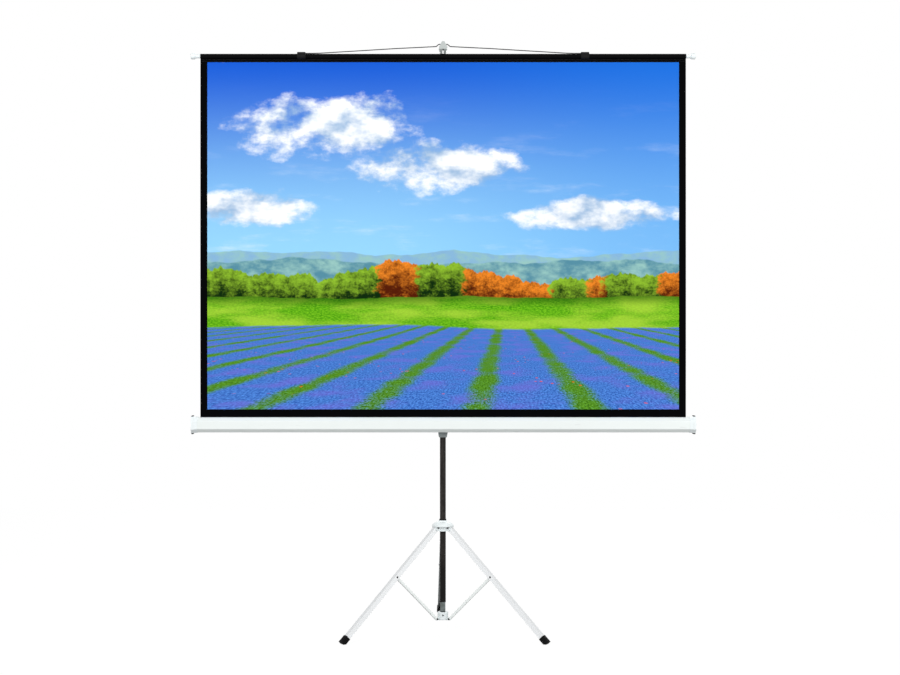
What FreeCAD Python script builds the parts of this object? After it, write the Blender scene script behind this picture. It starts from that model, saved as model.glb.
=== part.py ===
import FreeCAD, Part
import math
import os

# Tripod projection screen: a folding three-leg stand, a pole of two square tubes, a case with a
# spring roller on a sliding carriage, and a fabric hung by a wire bail on the hook of the pole.
# Millimetres, +Z up, the picture faces -Y. The pole stands on x = 0, y = 0 until the last step,
# which moves the whole part so that its origin is below its middle, on the floor.

# Picture and fabric
PICTURE_WIDTH = 2032.0
PICTURE_HEIGHT = 1498.0
SIDE_BORDER = 30.0
TOP_BORDER = 36.4
BOTTOM_BORDER = 31.0
FABRIC_THICKNESS = 0.6

# Roller case
CASE_TOP = 937.0
CASE_HEIGHT = 64.0
CASE_DEPTH = 65.0
CASE_CHAMFER = 14.6
CASE_CORNER = 3.0
CASE_WALL = 1.2
CASE_SIDE_ROOM = 27.5
SLOT_WIDTH = 6.0
SLOT_INSET = 2.0

# Case end caps and their rubber pads
CAP_OVERLAP = 18.0
CAP_WALL = 8.0
CAP_SKIN = 1.6
CAP_FLARE = 2.2
CAP_FLARE_LENGTH = 8.0
CAP_BOSS_RADIUS = 9.0
CAP_BOSS_LENGTH = 12.0
CAP_SCREW_PLACE = 19.0
CAP_SCREW_RADIUS = 4.2
CAP_SCREW_DEPTH = 2.6
PAD_HEIGHT = 4.0
PAD_LENGTH = 7.0

# Roller
ROLLER_RADIUS = 14.0
ROLLER_WALL = 1.0
ROLL_RADIUS = 20.0
ROLLER_OVERHANG = 5.0
ROLLER_PIN_RADIUS = 4.0
ROLLER_PIN_ENGAGEMENT = 10.0
ROLLER_PLUG_LENGTH = 25.0
ROLLER_PLUG_FLANGE = 3.0

# Pole
POLE_SIDE = 25.0
POLE_WALL = 1.5
POLE_CORNER = 2.5
POLE_BOTTOM = 134.0
POLE_LENGTH = 1261.0
EXTENSION_SIDE = 20.0
EXTENSION_WALL = 1.2
EXTENSION_CORNER = 2.0
EXTENSION_OVERLAP = 120.0
SPIGOT_WALL = 2.0
SPIGOT_DEPTH = 50.0
GUIDE_LENGTH = 12.0
PLUG_DEPTH = 25.0

# Lock collar on the pole
COLLAR_SIDE = 36.0
COLLAR_GRIP = 25.0
COLLAR_RISE = 28.0
COLLAR_FILLET = 4.0

# Carriage of the case and its pivot
CARRIAGE_SIDE = 36.0
CARRIAGE_SKIRT_DROP = 25.0
CARRIAGE_RISE = 20.0
CARRIAGE_FILLET = 4.0
SKIRT_TOP_SIDE = 41.0
SKIRT_BOTTOM_SIDE = 34.0
SKIRT_RIM = 4.0
PIVOT_PLATE_RADIUS = 27.0
PIVOT_PLATE_THICKNESS = 6.0
PIVOT_BOLT_RADIUS = 5.0
PIVOT_HEAD_RADIUS = 9.0
PIVOT_HEAD_THICKNESS = 2.4
PIVOT_NUT_ACROSS = 17.0
PIVOT_NUT_THICKNESS = 7.0
PIVOT_BOLT_PROUD = 1.0

# Clamp knobs
KNOB_RADIUS = 20.0
KNOB_THICKNESS = 16.0
KNOB_HUB_RADIUS = 10.0
KNOB_HUB_LENGTH = 6.0
KNOB_LOBES = 6
KNOB_SCALLOP = 6.0
KNOB_BEVEL = 2.5
STUD_RADIUS = 4.0
CLAMP_BOSS_RADIUS = 10.0
CLAMP_BOSS_LENGTH = 8.0

# Tripod linkage: the leg above the brace and the brace are equally long
LINK = 282.0
PIVOT_CIRCLE = 32.0
SPREAD = 45.5
LOWER_PIVOT = 62.0
LEG_SIDE = 20.0
LEG_WALL = 1.5
LEG_WEB_TRIM = 4.0
BRACE_WIDTH = 13.0
BRACE_DEPTH = 10.0
BRACE_WALL = 1.5
BRACE_WEB_TRIM = 9.0
LEG_PIN_RADIUS = 2.5
BRACE_PIN_RADIUS = 2.0
RIVET_HEAD = 1.5
RIVET_HEAD_RADIUS = 4.2
RIVET_RIM = 0.6
RIVET_CROWN_RADIUS = 2.4

# Rubber feet
FOOT_LENGTH = 36.0
FOOT_WALL = 3.0
FOOT_SOLE = 20.0
FOOT_TOE = 2.4
FOOT_FILLET = 4.0

# Sliding leg hub
HUB_RADIUS = 47.5
HUB_RIM_RISE = 5.0
HUB_RIM_HEIGHT = 4.0
HUB_CROWN_RISE = 27.0
HUB_DOME_BULGE = 3.0
HUB_NECK_SIDE = 36.0
HUB_NECK_RISE = 31.0
HUB_NECK_FILLET = 6.0
HUB_SKIRT_RADIUS = 30.0
HUB_DROP = 15.0
HUB_CHEEK = 5.0
HUB_CHEEK_REACH = 44.0
HUB_SLOT_GAP = 0.5
HUB_SLOT_ROOM = 12.0
BUSH_SIDE = 30.0
BUSH_HEIGHT = 4.0

# Fixed lower hub
LOWER_HUB_RADIUS = 23.0
LOWER_HUB_RISE = 29.0
LOWER_HUB_DROP = 4.0
LOWER_HUB_FLOOR = 8.0
LOWER_HUB_FILLET = 3.0
TONGUE_THICKNESS = 4.0
TONGUE_END = 6.0

# Top bar, bail and hook
BAR_RADIUS = 10.0
BAR_WALL = 1.2
BAR_NECK_RADIUS = 8.5
BAR_NECK_LENGTH = 21.0
BAR_KNOB_RADIUS = 13.0
BAR_KNOB_LENGTH = 20.0
BAR_KNOB_FILLET = 4.0
BAR_PLUG_LENGTH = 30.0
CLIP_SPACING = 1222.0
CLIP_LENGTH = 36.0
CLIP_WALL = 3.0
CLIP_LUG_WIDTH = 9.0
CLIP_LUG_HEIGHT = 7.4
WIRE_RADIUS = 2.0
WIRE_LIFT = 2.4
BAIL_KNEE = 540.0
BAIL_QUARTER = 359.0
BAIL_QUARTER_RISE = 13.3
BAIL_MIDWAY = 205.0
BAIL_MIDWAY_RISE = 22.8
BAIL_SHOULDER = 30.0
BAIL_SHOULDER_RISE = 31.4
BAIL_HUMP = 19.0
BAIL_HUMP_RISE = 41.0
BAIL_ARCH_RADIUS = 1000.0
BAIL_BEND_RADIUS = 5.0
HOOK_RISE = 53.5
HOOK_BASE_LIFT = 3.0
HOOK_BASE_WIDTH = 24.5
HOOK_WIDTH = 36.0
HOOK_TIP_WIDTH = 10.0
HOOK_BASE_HEIGHT = 12.0
HOOK_LIP = 7.0
HOOK_LIP_DROP = 21.0
HOOK_SEAT_REACH = 6.9
HOOK_FORK = 6.0
HOOK_ROUND = 4.0

# Clearances
FIT_GAP = 0.05
SLIDE_GAP = 0.1
PIN_GAP = 0.05
ROLL_GAP = 0.3
FACE_GAP = 0.3

# Heights and depths that follow from the sizes above
FABRIC_WIDTH = PICTURE_WIDTH + 2 * SIDE_BORDER
FABRIC_TOP = CASE_TOP + BOTTOM_BORDER + PICTURE_HEIGHT + TOP_BORDER
HEM_INNER = BAR_RADIUS + FIT_GAP
HEM_OUTER = HEM_INNER + FABRIC_THICKNESS
BAR_HEIGHT = FABRIC_TOP - HEM_OUTER
CASE_MIDDLE = CASE_TOP - CASE_HEIGHT / 2
CASE_BACK = -(CARRIAGE_SIDE / 2 + PIVOT_PLATE_THICKNESS)
CASE_AXIS = CASE_BACK - CASE_DEPTH / 2
SCREEN_Y = CASE_BACK - CASE_CHAMFER - SLOT_INSET - SLOT_WIDTH / 2
ROLLER_Y = SCREEN_Y - FABRIC_THICKNESS / 2 - ROLL_GAP - ROLL_RADIUS
SHELL_END = FABRIC_WIDTH / 2 + CASE_SIDE_ROOM
CAP_END = SHELL_END + CAP_WALL
ROLLER_END = FABRIC_WIDTH / 2 + ROLLER_OVERHANG
POLE_TOP = POLE_BOTTOM + POLE_LENGTH
POLE_BORE = POLE_SIDE - 2 * POLE_WALL
EXTENSION_BOTTOM = POLE_TOP - EXTENSION_OVERLAP
EXTENSION_TOP = BAR_HEIGHT + HOOK_BASE_LIFT
EXTENSION_BORE = EXTENSION_SIDE - 2 * EXTENSION_WALL
SPIGOT_SIDE = POLE_BORE - 2 * SLIDE_GAP
CARRIAGE_TOP = CASE_TOP + CARRIAGE_RISE
CARRIAGE_BOTTOM = CASE_TOP - CASE_HEIGHT - CARRIAGE_SKIRT_DROP
SPREAD_RADIANS = math.radians(SPREAD)
UPPER_PIVOT = LOWER_PIVOT + 2 * LINK * math.cos(SPREAD_RADIANS)
FOOT_END = UPPER_PIVOT / math.cos(SPREAD_RADIANS) - FOOT_TOE
LEG_END = FOOT_END - FOOT_SOLE
HUB_SLOT = LEG_SIDE + 2 * HUB_SLOT_GAP
LOWER_HUB_TOP = LOWER_PIVOT + LOWER_HUB_RISE
LOCK_HEIGHT = POLE_TOP + COLLAR_RISE / 2
AZIMUTHS = {"left": 210.0, "right": 330.0, "rear": 90.0}
BIG = 5000.0

X_AXIS = FreeCAD.Vector(1, 0, 0)
Y_AXIS = FreeCAD.Vector(0, 1, 0)
Z_AXIS = FreeCAD.Vector(0, 0, 1)


def vec(x, y, z):
    """A point or direction."""
    return FreeCAD.Vector(x, y, z)


def block(x_range, y_range, z_range):
    """A box between two limits on each axis."""
    size = [high - low for low, high in (x_range, y_range, z_range)]
    return Part.makeBox(size[0], size[1], size[2], vec(x_range[0], y_range[0], z_range[0]))


def rod(radius, start, end):
    """A round bar from one point to another."""
    return Part.makeCylinder(radius, (end - start).Length, start, end - start)


def rounded_edges(points, radii, closed):
    """Straight runs through the points, with an arc of the given radius at each corner."""
    count = len(points)
    corners = []
    for index, point in enumerate(points):
        if not closed and index in (0, count - 1) or radii[index] == 0:
            corners.append((point, None, point))
            continue
        before = (points[index - 1] - point).normalize()
        after = (points[(index + 1) % count] - point).normalize()
        half = before.getAngle(after) / 2
        reach = radii[index] / math.tan(half)
        inward = (before + after).normalize()
        middle = point + inward * (radii[index] / math.sin(half) - radii[index])
        corners.append((point + before * reach, middle, point + after * reach))
    edges = []
    for index, (start, middle, end) in enumerate(corners):
        if middle is not None:
            edges.append(Part.Arc(start, middle, end).toShape())
        if closed or index < count - 1:
            edges.append(Part.LineSegment(end, corners[(index + 1) % count][0]).toShape())
    return edges


def outline(points, radius):
    """A closed outline with every corner rounded alike."""
    return Part.Wire(rounded_edges(points, [radius] * len(points), True))


def square_outline(side, radius, height):
    """A level square about the Z axis with rounded corners."""
    half = side / 2
    return outline([vec(half, half, height), vec(-half, half, height),
                    vec(-half, -half, height), vec(half, -half, height)], radius)


def square_post(side, radius, bottom, top):
    """A square post about the Z axis with rounded edges."""
    return Part.Face(square_outline(side, radius, bottom)).extrude(vec(0, 0, top - bottom))


def square_bore(side, bottom, top):
    """The sharp-cornered space that a square tube passes through."""
    return block((-side / 2, side / 2), (-side / 2, side / 2), (bottom, top))


def square_tube(side, radius, wall, bottom, top):
    """A square tube about the Z axis."""
    inner = square_post(side - 2 * wall, radius - wall / 2, bottom, top)
    return square_post(side, radius, bottom, top).cut(inner)


def lathe(points, origin, axis):
    """A turned piece: the outline of (radius, length) points swept round an axis."""
    side = Y_AXIS if abs(axis.x) > 0.5 else X_AXIS
    ring = [origin + side * radius + axis * length for radius, length in points]
    face = Part.Face(Part.makePolygon(ring + [ring[0]]))
    return face.revolve(origin, axis, 360)


def mirrored(shape):
    """The same piece on the other side of the pole."""
    return shape.mirror(vec(0, 0, 0), X_AXIS)


def group(shapes):
    """Several like solids that share a name."""
    return Part.makeCompound(shapes)


def around_pole(shape, azimuth):
    """Turn a piece made towards +X to its place round the pole."""
    return shape.rotated(vec(0, 0, 0), Z_AXIS, azimuth)


# Pole and extension

def outer_tube():
    return square_tube(POLE_SIDE, POLE_CORNER, POLE_WALL, POLE_BOTTOM, POLE_TOP)


def base_spigot():
    bottom = LOWER_PIVOT - LOWER_HUB_DROP + LOWER_HUB_FLOOR
    return square_tube(SPIGOT_SIDE, POLE_CORNER, SPIGOT_WALL, bottom, POLE_BOTTOM + SPIGOT_DEPTH)


def inner_tube():
    return square_tube(EXTENSION_SIDE, EXTENSION_CORNER, EXTENSION_WALL,
                       EXTENSION_BOTTOM, EXTENSION_TOP)


def tube_plug(direction, tube_end):
    """The part of an end piece that sits inside the extension tube."""
    side = EXTENSION_BORE - 2 * SLIDE_GAP
    limits = sorted([tube_end, tube_end + direction * PLUG_DEPTH])
    return square_post(side, EXTENSION_CORNER, limits[0], limits[1])


def guide_plug():
    side = POLE_BORE - 2 * SLIDE_GAP
    shoe = square_post(side, POLE_CORNER, EXTENSION_BOTTOM - GUIDE_LENGTH, EXTENSION_BOTTOM)
    return shoe.fuse(tube_plug(1, EXTENSION_BOTTOM)).removeSplitter()


def clamp_boss(height, wall_y, bore_y):
    """The boss behind a sliding collar, and the hole for its clamp stud."""
    boss = rod(CLAMP_BOSS_RADIUS, vec(0, bore_y, height), vec(0, wall_y + CLAMP_BOSS_LENGTH, height))
    hole = rod(STUD_RADIUS + PIN_GAP, vec(0, 0, height), vec(0, wall_y + CLAMP_BOSS_LENGTH, height))
    return boss, hole


def lock_collar():
    bottom = POLE_TOP - COLLAR_GRIP
    top = POLE_TOP + COLLAR_RISE
    boss, hole = clamp_boss(LOCK_HEIGHT, COLLAR_SIDE / 2, EXTENSION_SIDE / 2)
    body = square_post(COLLAR_SIDE, COLLAR_FILLET, bottom, top).fuse(boss)
    grip = square_bore(POLE_SIDE + 2 * SLIDE_GAP, bottom, POLE_TOP)
    guide = square_bore(EXTENSION_SIDE + 2 * SLIDE_GAP, POLE_TOP, top)
    return body.cut(grip).cut(guide).cut(hole).removeSplitter()


def clamp_knob(height, wall_y):
    """A lobed hand knob behind a clamp boss."""
    seat = wall_y + CLAMP_BOSS_LENGTH + FACE_GAP
    rim = KNOB_HUB_LENGTH
    back = rim + KNOB_THICKNESS
    bevel = KNOB_BEVEL
    profile = [(0, 0), (KNOB_HUB_RADIUS, 0), (KNOB_HUB_RADIUS, rim), (KNOB_RADIUS - bevel, rim),
               (KNOB_RADIUS, rim + bevel), (KNOB_RADIUS, back - bevel), (KNOB_RADIUS - bevel, back),
               (0, back)]
    knob = lathe(profile, vec(0, seat, height), Y_AXIS)
    for lobe in range(KNOB_LOBES):
        turn = 2 * math.pi * lobe / KNOB_LOBES
        reach = KNOB_RADIUS + KNOB_SCALLOP / 2
        start = vec(reach * math.cos(turn), seat, height + reach * math.sin(turn))
        knob = knob.cut(rod(KNOB_SCALLOP, start, start + Y_AXIS * back))
    socket = rod(STUD_RADIUS + FIT_GAP, vec(0, seat, height), vec(0, seat + rim * 2, height))
    return knob.cut(socket)


def clamp_stud(height, tube_side, wall_y):
    """The stud that a knob presses on a tube."""
    end = wall_y + CLAMP_BOSS_LENGTH + FACE_GAP + 2 * KNOB_HUB_LENGTH
    return rod(STUD_RADIUS, vec(0, tube_side / 2 + SLIDE_GAP, height), vec(0, end, height))


# Carriage and case pivot

def carriage():
    skirt_top = CASE_TOP - CASE_HEIGHT - SKIRT_RIM
    skirt = Part.makeLoft([square_outline(SKIRT_BOTTOM_SIDE, CARRIAGE_FILLET, CARRIAGE_BOTTOM),
                           square_outline(SKIRT_TOP_SIDE, CARRIAGE_FILLET, skirt_top)], True, True)
    rim = square_post(SKIRT_TOP_SIDE, CARRIAGE_FILLET, skirt_top, skirt_top + SKIRT_RIM)
    body = square_post(CARRIAGE_SIDE, CARRIAGE_FILLET, skirt_top, CARRIAGE_TOP)
    boss, hole = clamp_boss(CASE_MIDDLE, CARRIAGE_SIDE / 2, POLE_SIDE / 2)
    bore = square_bore(POLE_SIDE + 2 * SLIDE_GAP, CARRIAGE_BOTTOM, CARRIAGE_TOP)
    bore_face = -(POLE_SIDE / 2 + SLIDE_GAP)
    front = vec(0, -CARRIAGE_SIDE / 2, CASE_MIDDLE)
    bolt_hole = rod(PIVOT_BOLT_RADIUS + FIT_GAP, front, vec(0, 0, CASE_MIDDLE))
    recess = rod(PIVOT_HEAD_RADIUS + FIT_GAP,
                 vec(0, bore_face - PIVOT_HEAD_THICKNESS - SLIDE_GAP, CASE_MIDDLE),
                 vec(0, 0, CASE_MIDDLE))
    body = body.fuse([skirt, rim, boss])
    return body.cut([bore, hole, bolt_hole, recess]).removeSplitter()


def pivot_plate():
    front = vec(0, CASE_BACK, CASE_MIDDLE)
    back = vec(0, -CARRIAGE_SIDE / 2, CASE_MIDDLE)
    hole = rod(PIVOT_BOLT_RADIUS + FIT_GAP, front, back)
    return rod(PIVOT_PLATE_RADIUS, front, back).cut(hole)


def pivot_bolt():
    head_back = -(POLE_SIDE / 2 + 2 * SLIDE_GAP)
    head_front = head_back - PIVOT_HEAD_THICKNESS
    head = rod(PIVOT_HEAD_RADIUS, vec(0, head_back, CASE_MIDDLE), vec(0, head_front, CASE_MIDDLE))
    end = CASE_BACK - CASE_WALL - PIVOT_NUT_THICKNESS - PIVOT_BOLT_PROUD
    shank = rod(PIVOT_BOLT_RADIUS, vec(0, head_front, CASE_MIDDLE), vec(0, end, CASE_MIDDLE))
    return head.fuse(shank)


def pivot_nut():
    seat = CASE_BACK - CASE_WALL
    radius = PIVOT_NUT_ACROSS / math.sqrt(3)
    ring = []
    for corner in range(7):
        turn = math.pi / 3 * corner
        ring.append(vec(radius * math.cos(turn), seat, CASE_MIDDLE + radius * math.sin(turn)))
    body = Part.Face(Part.makePolygon(ring)).extrude(vec(0, -PIVOT_NUT_THICKNESS, 0))
    hole = rod(PIVOT_BOLT_RADIUS + FIT_GAP, vec(0, 0, CASE_MIDDLE), vec(0, -BIG, CASE_MIDDLE))
    return body.cut(hole)


# Roller case

def case_outline(offset, x):
    """The eight-sided section of the case, grown by an offset, at a place along it."""
    depth = CASE_DEPTH / 2 + offset
    height = CASE_HEIGHT / 2 + offset
    chamfer = CASE_CHAMFER + offset * (2 - math.sqrt(2))
    corners = [(depth, chamfer - height), (depth, height - chamfer), (depth - chamfer, height),
               (chamfer - depth, height), (-depth, height - chamfer), (-depth, chamfer - height),
               (chamfer - depth, -height), (depth - chamfer, -height)]
    points = [vec(x, CASE_AXIS + y, CASE_MIDDLE + z) for y, z in corners]
    return outline(points, CASE_CORNER + offset)


def case_bar(offset, start, end):
    """A straight length of the case section."""
    return Part.Face(case_outline(offset, start)).extrude(vec(end - start, 0, 0))


def case_shell():
    shell = case_bar(0, -SHELL_END, SHELL_END).cut(case_bar(-CASE_WALL, -SHELL_END, SHELL_END))
    slot = block((-SHELL_END, SHELL_END),
                 (SCREEN_Y - SLOT_WIDTH / 2, SCREEN_Y + SLOT_WIDTH / 2), (CASE_MIDDLE, CASE_TOP))
    bolt_hole = rod(PIVOT_BOLT_RADIUS + FIT_GAP, vec(0, CASE_BACK, CASE_MIDDLE),
                    vec(0, CASE_AXIS, CASE_MIDDLE))
    return shell.cut([slot, bolt_hole])


def case_cap():
    """The right-hand end cap: a sleeve over the shell that flares to a rim at the end wall."""
    rim_start = SHELL_END
    flare_start = rim_start - CAP_FLARE_LENGTH
    sleeve = case_bar(CAP_SKIN, SHELL_END - CAP_OVERLAP, flare_start)
    flare = Part.makeLoft([case_outline(CAP_SKIN, flare_start),
                           case_outline(CAP_SKIN + CAP_FLARE, rim_start)], True, True)
    rim = case_bar(CAP_SKIN + CAP_FLARE, rim_start, CAP_END)
    socket = case_bar(FIT_GAP, SHELL_END - CAP_OVERLAP, SHELL_END)
    body = sleeve.fuse([flare, rim]).cut(socket)
    axis_end = vec(SHELL_END, ROLLER_Y, CASE_MIDDLE)
    boss = rod(CAP_BOSS_RADIUS, axis_end - X_AXIS * CAP_BOSS_LENGTH, axis_end)
    hole = rod(ROLLER_PIN_RADIUS + PIN_GAP, axis_end - X_AXIS * CAP_BOSS_LENGTH,
               axis_end + X_AXIS * (CAP_WALL / 2))
    slot = block((SHELL_END - CAP_OVERLAP, SHELL_END),
                 (SCREEN_Y - SLOT_WIDTH / 2, SCREEN_Y + SLOT_WIDTH / 2), (CASE_MIDDLE, BIG))
    pockets = []
    for depth_side in (-CAP_SCREW_PLACE, CAP_SCREW_PLACE):
        for height_side in (-CAP_SCREW_PLACE, CAP_SCREW_PLACE):
            mouth = vec(CAP_END, CASE_AXIS + depth_side, CASE_MIDDLE + height_side)
            pockets.append(rod(CAP_SCREW_RADIUS, mouth - X_AXIS * CAP_SCREW_DEPTH, mouth))
    return body.cut(slot).fuse(boss).cut([hole] + pockets).removeSplitter()


def cap_pads():
    """The rubber pads above and below the right-hand cap's rim."""
    middle = SHELL_END + CAP_WALL / 2
    reach = CASE_DEPTH / 2 - CASE_CHAMFER
    face = CASE_HEIGHT / 2 + CAP_SKIN + CAP_FLARE
    pads = []
    for level in (CASE_MIDDLE + face, CASE_MIDDLE - face - PAD_HEIGHT):
        pad = block((middle - PAD_LENGTH / 2, middle + PAD_LENGTH / 2),
                    (CASE_AXIS - reach, CASE_AXIS + reach), (level, level + PAD_HEIGHT))
        pads.append(pad.makeFillet(PAD_HEIGHT / 3, pad.Edges))
    return group(pads)


# Roller

def roller_tube():
    start = vec(-ROLLER_END, ROLLER_Y, CASE_MIDDLE)
    end = vec(ROLLER_END, ROLLER_Y, CASE_MIDDLE)
    return rod(ROLLER_RADIUS, start, end).cut(rod(ROLLER_RADIUS - ROLLER_WALL, start, end))


def roller_plug():
    """The right-hand end plug of the roller with its bearing pin."""
    inner = ROLLER_RADIUS - ROLLER_WALL - FIT_GAP
    flange = ROLLER_PLUG_LENGTH + ROLLER_PLUG_FLANGE
    pin_start = SHELL_END - CAP_BOSS_LENGTH
    pin = pin_start + ROLLER_PIN_ENGAGEMENT - (ROLLER_END - ROLLER_PLUG_LENGTH)
    profile = [(0, 0), (inner, 0), (inner, ROLLER_PLUG_LENGTH), (ROLLER_RADIUS, ROLLER_PLUG_LENGTH),
               (ROLLER_RADIUS, flange), (ROLLER_PIN_RADIUS, flange), (ROLLER_PIN_RADIUS, pin), (0, pin)]
    return lathe(profile, vec(ROLLER_END - ROLLER_PLUG_LENGTH, ROLLER_Y, CASE_MIDDLE), X_AXIS)


def wound_fabric():
    start = vec(-FABRIC_WIDTH / 2, ROLLER_Y, CASE_MIDDLE)
    end = vec(FABRIC_WIDTH / 2, ROLLER_Y, CASE_MIDDLE)
    return rod(ROLL_RADIUS, start, end).cut(rod(ROLLER_RADIUS + FIT_GAP, start, end))


# Fabric and top bar

def screen_fabric():
    half = FABRIC_THICKNESS / 2
    return block((-FABRIC_WIDTH / 2, FABRIC_WIDTH / 2), (SCREEN_Y - half, SCREEN_Y + half),
                 (CASE_MIDDLE, BAR_HEIGHT - HEM_OUTER - FIT_GAP))


def fabric_hem():
    start = vec(-FABRIC_WIDTH / 2, SCREEN_Y, BAR_HEIGHT)
    end = vec(FABRIC_WIDTH / 2, SCREEN_Y, BAR_HEIGHT)
    return rod(HEM_OUTER, start, end).cut(rod(HEM_INNER, start, end))


def top_bar():
    start = vec(-FABRIC_WIDTH / 2, SCREEN_Y, BAR_HEIGHT)
    end = vec(FABRIC_WIDTH / 2, SCREEN_Y, BAR_HEIGHT)
    return rod(BAR_RADIUS, start, end).cut(rod(BAR_RADIUS - BAR_WALL, start, end))


def bar_end():
    """The right-hand end knob of the top bar with its neck and plug."""
    plug = BAR_RADIUS - BAR_WALL - FIT_GAP
    neck = BAR_PLUG_LENGTH + BAR_NECK_LENGTH
    tip = neck + BAR_KNOB_LENGTH
    profile = [(0, 0), (plug, 0), (plug, BAR_PLUG_LENGTH), (BAR_NECK_RADIUS, BAR_PLUG_LENGTH),
               (BAR_NECK_RADIUS, neck), (BAR_KNOB_RADIUS, neck), (BAR_KNOB_RADIUS, tip), (0, tip)]
    knob = lathe(profile, vec(FABRIC_WIDTH / 2 - BAR_PLUG_LENGTH, SCREEN_Y, BAR_HEIGHT), X_AXIS)
    rims = [edge for edge in knob.Edges
            if hasattr(edge.Curve, "Radius") and abs(edge.Curve.Radius - BAR_KNOB_RADIUS) < FIT_GAP]
    return knob.makeFillet(BAR_KNOB_FILLET, rims)


def bail():
    """The springy wire that lifts the top bar, with the raised middle that the hook holds."""
    half = [(CLIP_SPACING / 2, WIRE_LIFT, 0), (BAIL_KNEE, WIRE_LIFT, BAIL_ARCH_RADIUS),
            (BAIL_QUARTER, BAIL_QUARTER_RISE, BAIL_ARCH_RADIUS),
            (BAIL_MIDWAY, BAIL_MIDWAY_RISE, BAIL_ARCH_RADIUS),
            (BAIL_SHOULDER, BAIL_SHOULDER_RISE, BAIL_BEND_RADIUS),
            (BAIL_HUMP, BAIL_HUMP_RISE, BAIL_BEND_RADIUS)]
    left = [(-x, rise, radius) for x, rise, radius in half]
    route = left + half[::-1]
    points = [vec(x, SCREEN_Y, FABRIC_TOP + rise) for x, rise, radius in route]
    path = Part.Wire(rounded_edges(points, [radius for x, rise, radius in route], False))
    section = Part.Wire(Part.makeCircle(WIRE_RADIUS, points[0], X_AXIS))
    return path.makePipeShell([section], True, False)


def bail_clip():
    """The right-hand clip: a ring open below, where the fabric leaves it, with a lug for the wire."""
    start = CLIP_SPACING / 2 - CLIP_LENGTH / 2
    first = vec(start, SCREEN_Y, BAR_HEIGHT)
    last = vec(start + CLIP_LENGTH, SCREEN_Y, BAR_HEIGHT)
    outer = HEM_OUTER + FIT_GAP + CLIP_WALL
    lug = block((start, start + CLIP_LENGTH),
                (SCREEN_Y - CLIP_LUG_WIDTH / 2, SCREEN_Y + CLIP_LUG_WIDTH / 2),
                (BAR_HEIGHT, FABRIC_TOP + CLIP_LUG_HEIGHT))
    lug = lug.makeFillet(CLIP_WALL, [edge for edge in lug.Edges
                                     if edge.BoundBox.ZMin > BAR_HEIGHT and edge.BoundBox.XLength < FIT_GAP])
    mouth = block((start, start + CLIP_LENGTH), (SCREEN_Y - HEM_INNER / 2, SCREEN_Y + HEM_INNER / 2),
                  (BAR_HEIGHT - 2 * outer, BAR_HEIGHT))
    wire_hole = rod(WIRE_RADIUS + PIN_GAP, vec(0, SCREEN_Y, FABRIC_TOP + WIRE_LIFT),
                    vec(CLIP_SPACING / 2, SCREEN_Y, FABRIC_TOP + WIRE_LIFT))
    ring = rod(outer, first, last).fuse(lug)
    return ring.cut([rod(HEM_OUTER + FIT_GAP, first, last), mouth, wire_hole]).removeSplitter()


def hook():
    """The hook on the pole: a forked neck that reaches forward to a seat with a lip for the wire."""
    base = EXTENSION_TOP
    tip = FABRIC_TOP + HOOK_RISE
    wire = FABRIC_TOP + BAIL_HUMP_RISE
    seat_radius = WIRE_RADIUS + FACE_GAP
    seat_front = SCREEN_Y - seat_radius
    half = EXTENSION_SIDE / 2
    side = [vec(0, half, base), vec(0, half, base + HOOK_BASE_HEIGHT),
            vec(0, SCREEN_Y + HOOK_SEAT_REACH, wire - seat_radius),
            vec(0, seat_front, wire - seat_radius), vec(0, seat_front, tip),
            vec(0, seat_front - HOOK_LIP, tip),
            vec(0, seat_front - HOOK_LIP, wire - HOOK_LIP_DROP), vec(0, -half, base)]
    radii = [0, HOOK_ROUND, HOOK_ROUND, seat_radius, HOOK_ROUND / 4, HOOK_ROUND, HOOK_ROUND, 0]
    profile = Part.Face(Part.Wire(rounded_edges(side, radii, True)))
    body = profile.extrude(X_AXIS * HOOK_WIDTH).translated(X_AXIS * (-HOOK_WIDTH / 2))
    shoulder = (FABRIC_TOP + wire) / 2
    front = [(HOOK_BASE_WIDTH, base), (HOOK_BASE_WIDTH, shoulder - HOOK_BASE_HEIGHT),
             (HOOK_WIDTH, shoulder + HOOK_ROUND), (HOOK_WIDTH, shoulder + 2 * HOOK_ROUND),
             (HOOK_TIP_WIDTH, tip)]
    right = [vec(width / 2, -BIG / 2, height) for width, height in front]
    left = [vec(-point.x, point.y, point.z) for point in right[::-1]]
    radii = [0] + [HOOK_ROUND] * (len(right + left) - 2) + [0]
    silhouette = Part.Wire(rounded_edges(right + left, radii, True))
    body = body.common(Part.Face(silhouette).extrude(Y_AXIS * BIG))
    fork = block((-HOOK_FORK / 2, HOOK_FORK / 2), (-BIG / 2, BIG / 2), (base + HOOK_BASE_HEIGHT, shoulder))
    return body.cut(fork).fuse(tube_plug(-1, EXTENSION_TOP)).removeSplitter()


# Folding tripod. Each piece is made folded, towards +X, with its pivot at the origin.

def leg():
    """A channel leg that hangs from its top pivot, open towards the pole."""
    half = LEG_SIDE / 2
    body = block((-half, half), (-half, half), (-LEG_END, 0))
    body = body.fuse(rod(half, vec(0, -half, 0), vec(0, half, 0)))
    room = LEG_SIDE / 2 - LEG_WALL
    channel = block((-LEG_SIDE, room), (-room, room), (-LEG_END, LEG_SIDE))
    top = block((0, LEG_SIDE), (-room, room), (-LEG_WEB_TRIM, LEG_SIDE))
    holes = [rod(LEG_PIN_RADIUS + PIN_GAP, vec(0, -LEG_SIDE, height), vec(0, LEG_SIDE, height))
             for height in (0, -LINK)]
    return body.cut([channel, top] + holes).removeSplitter()


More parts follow.
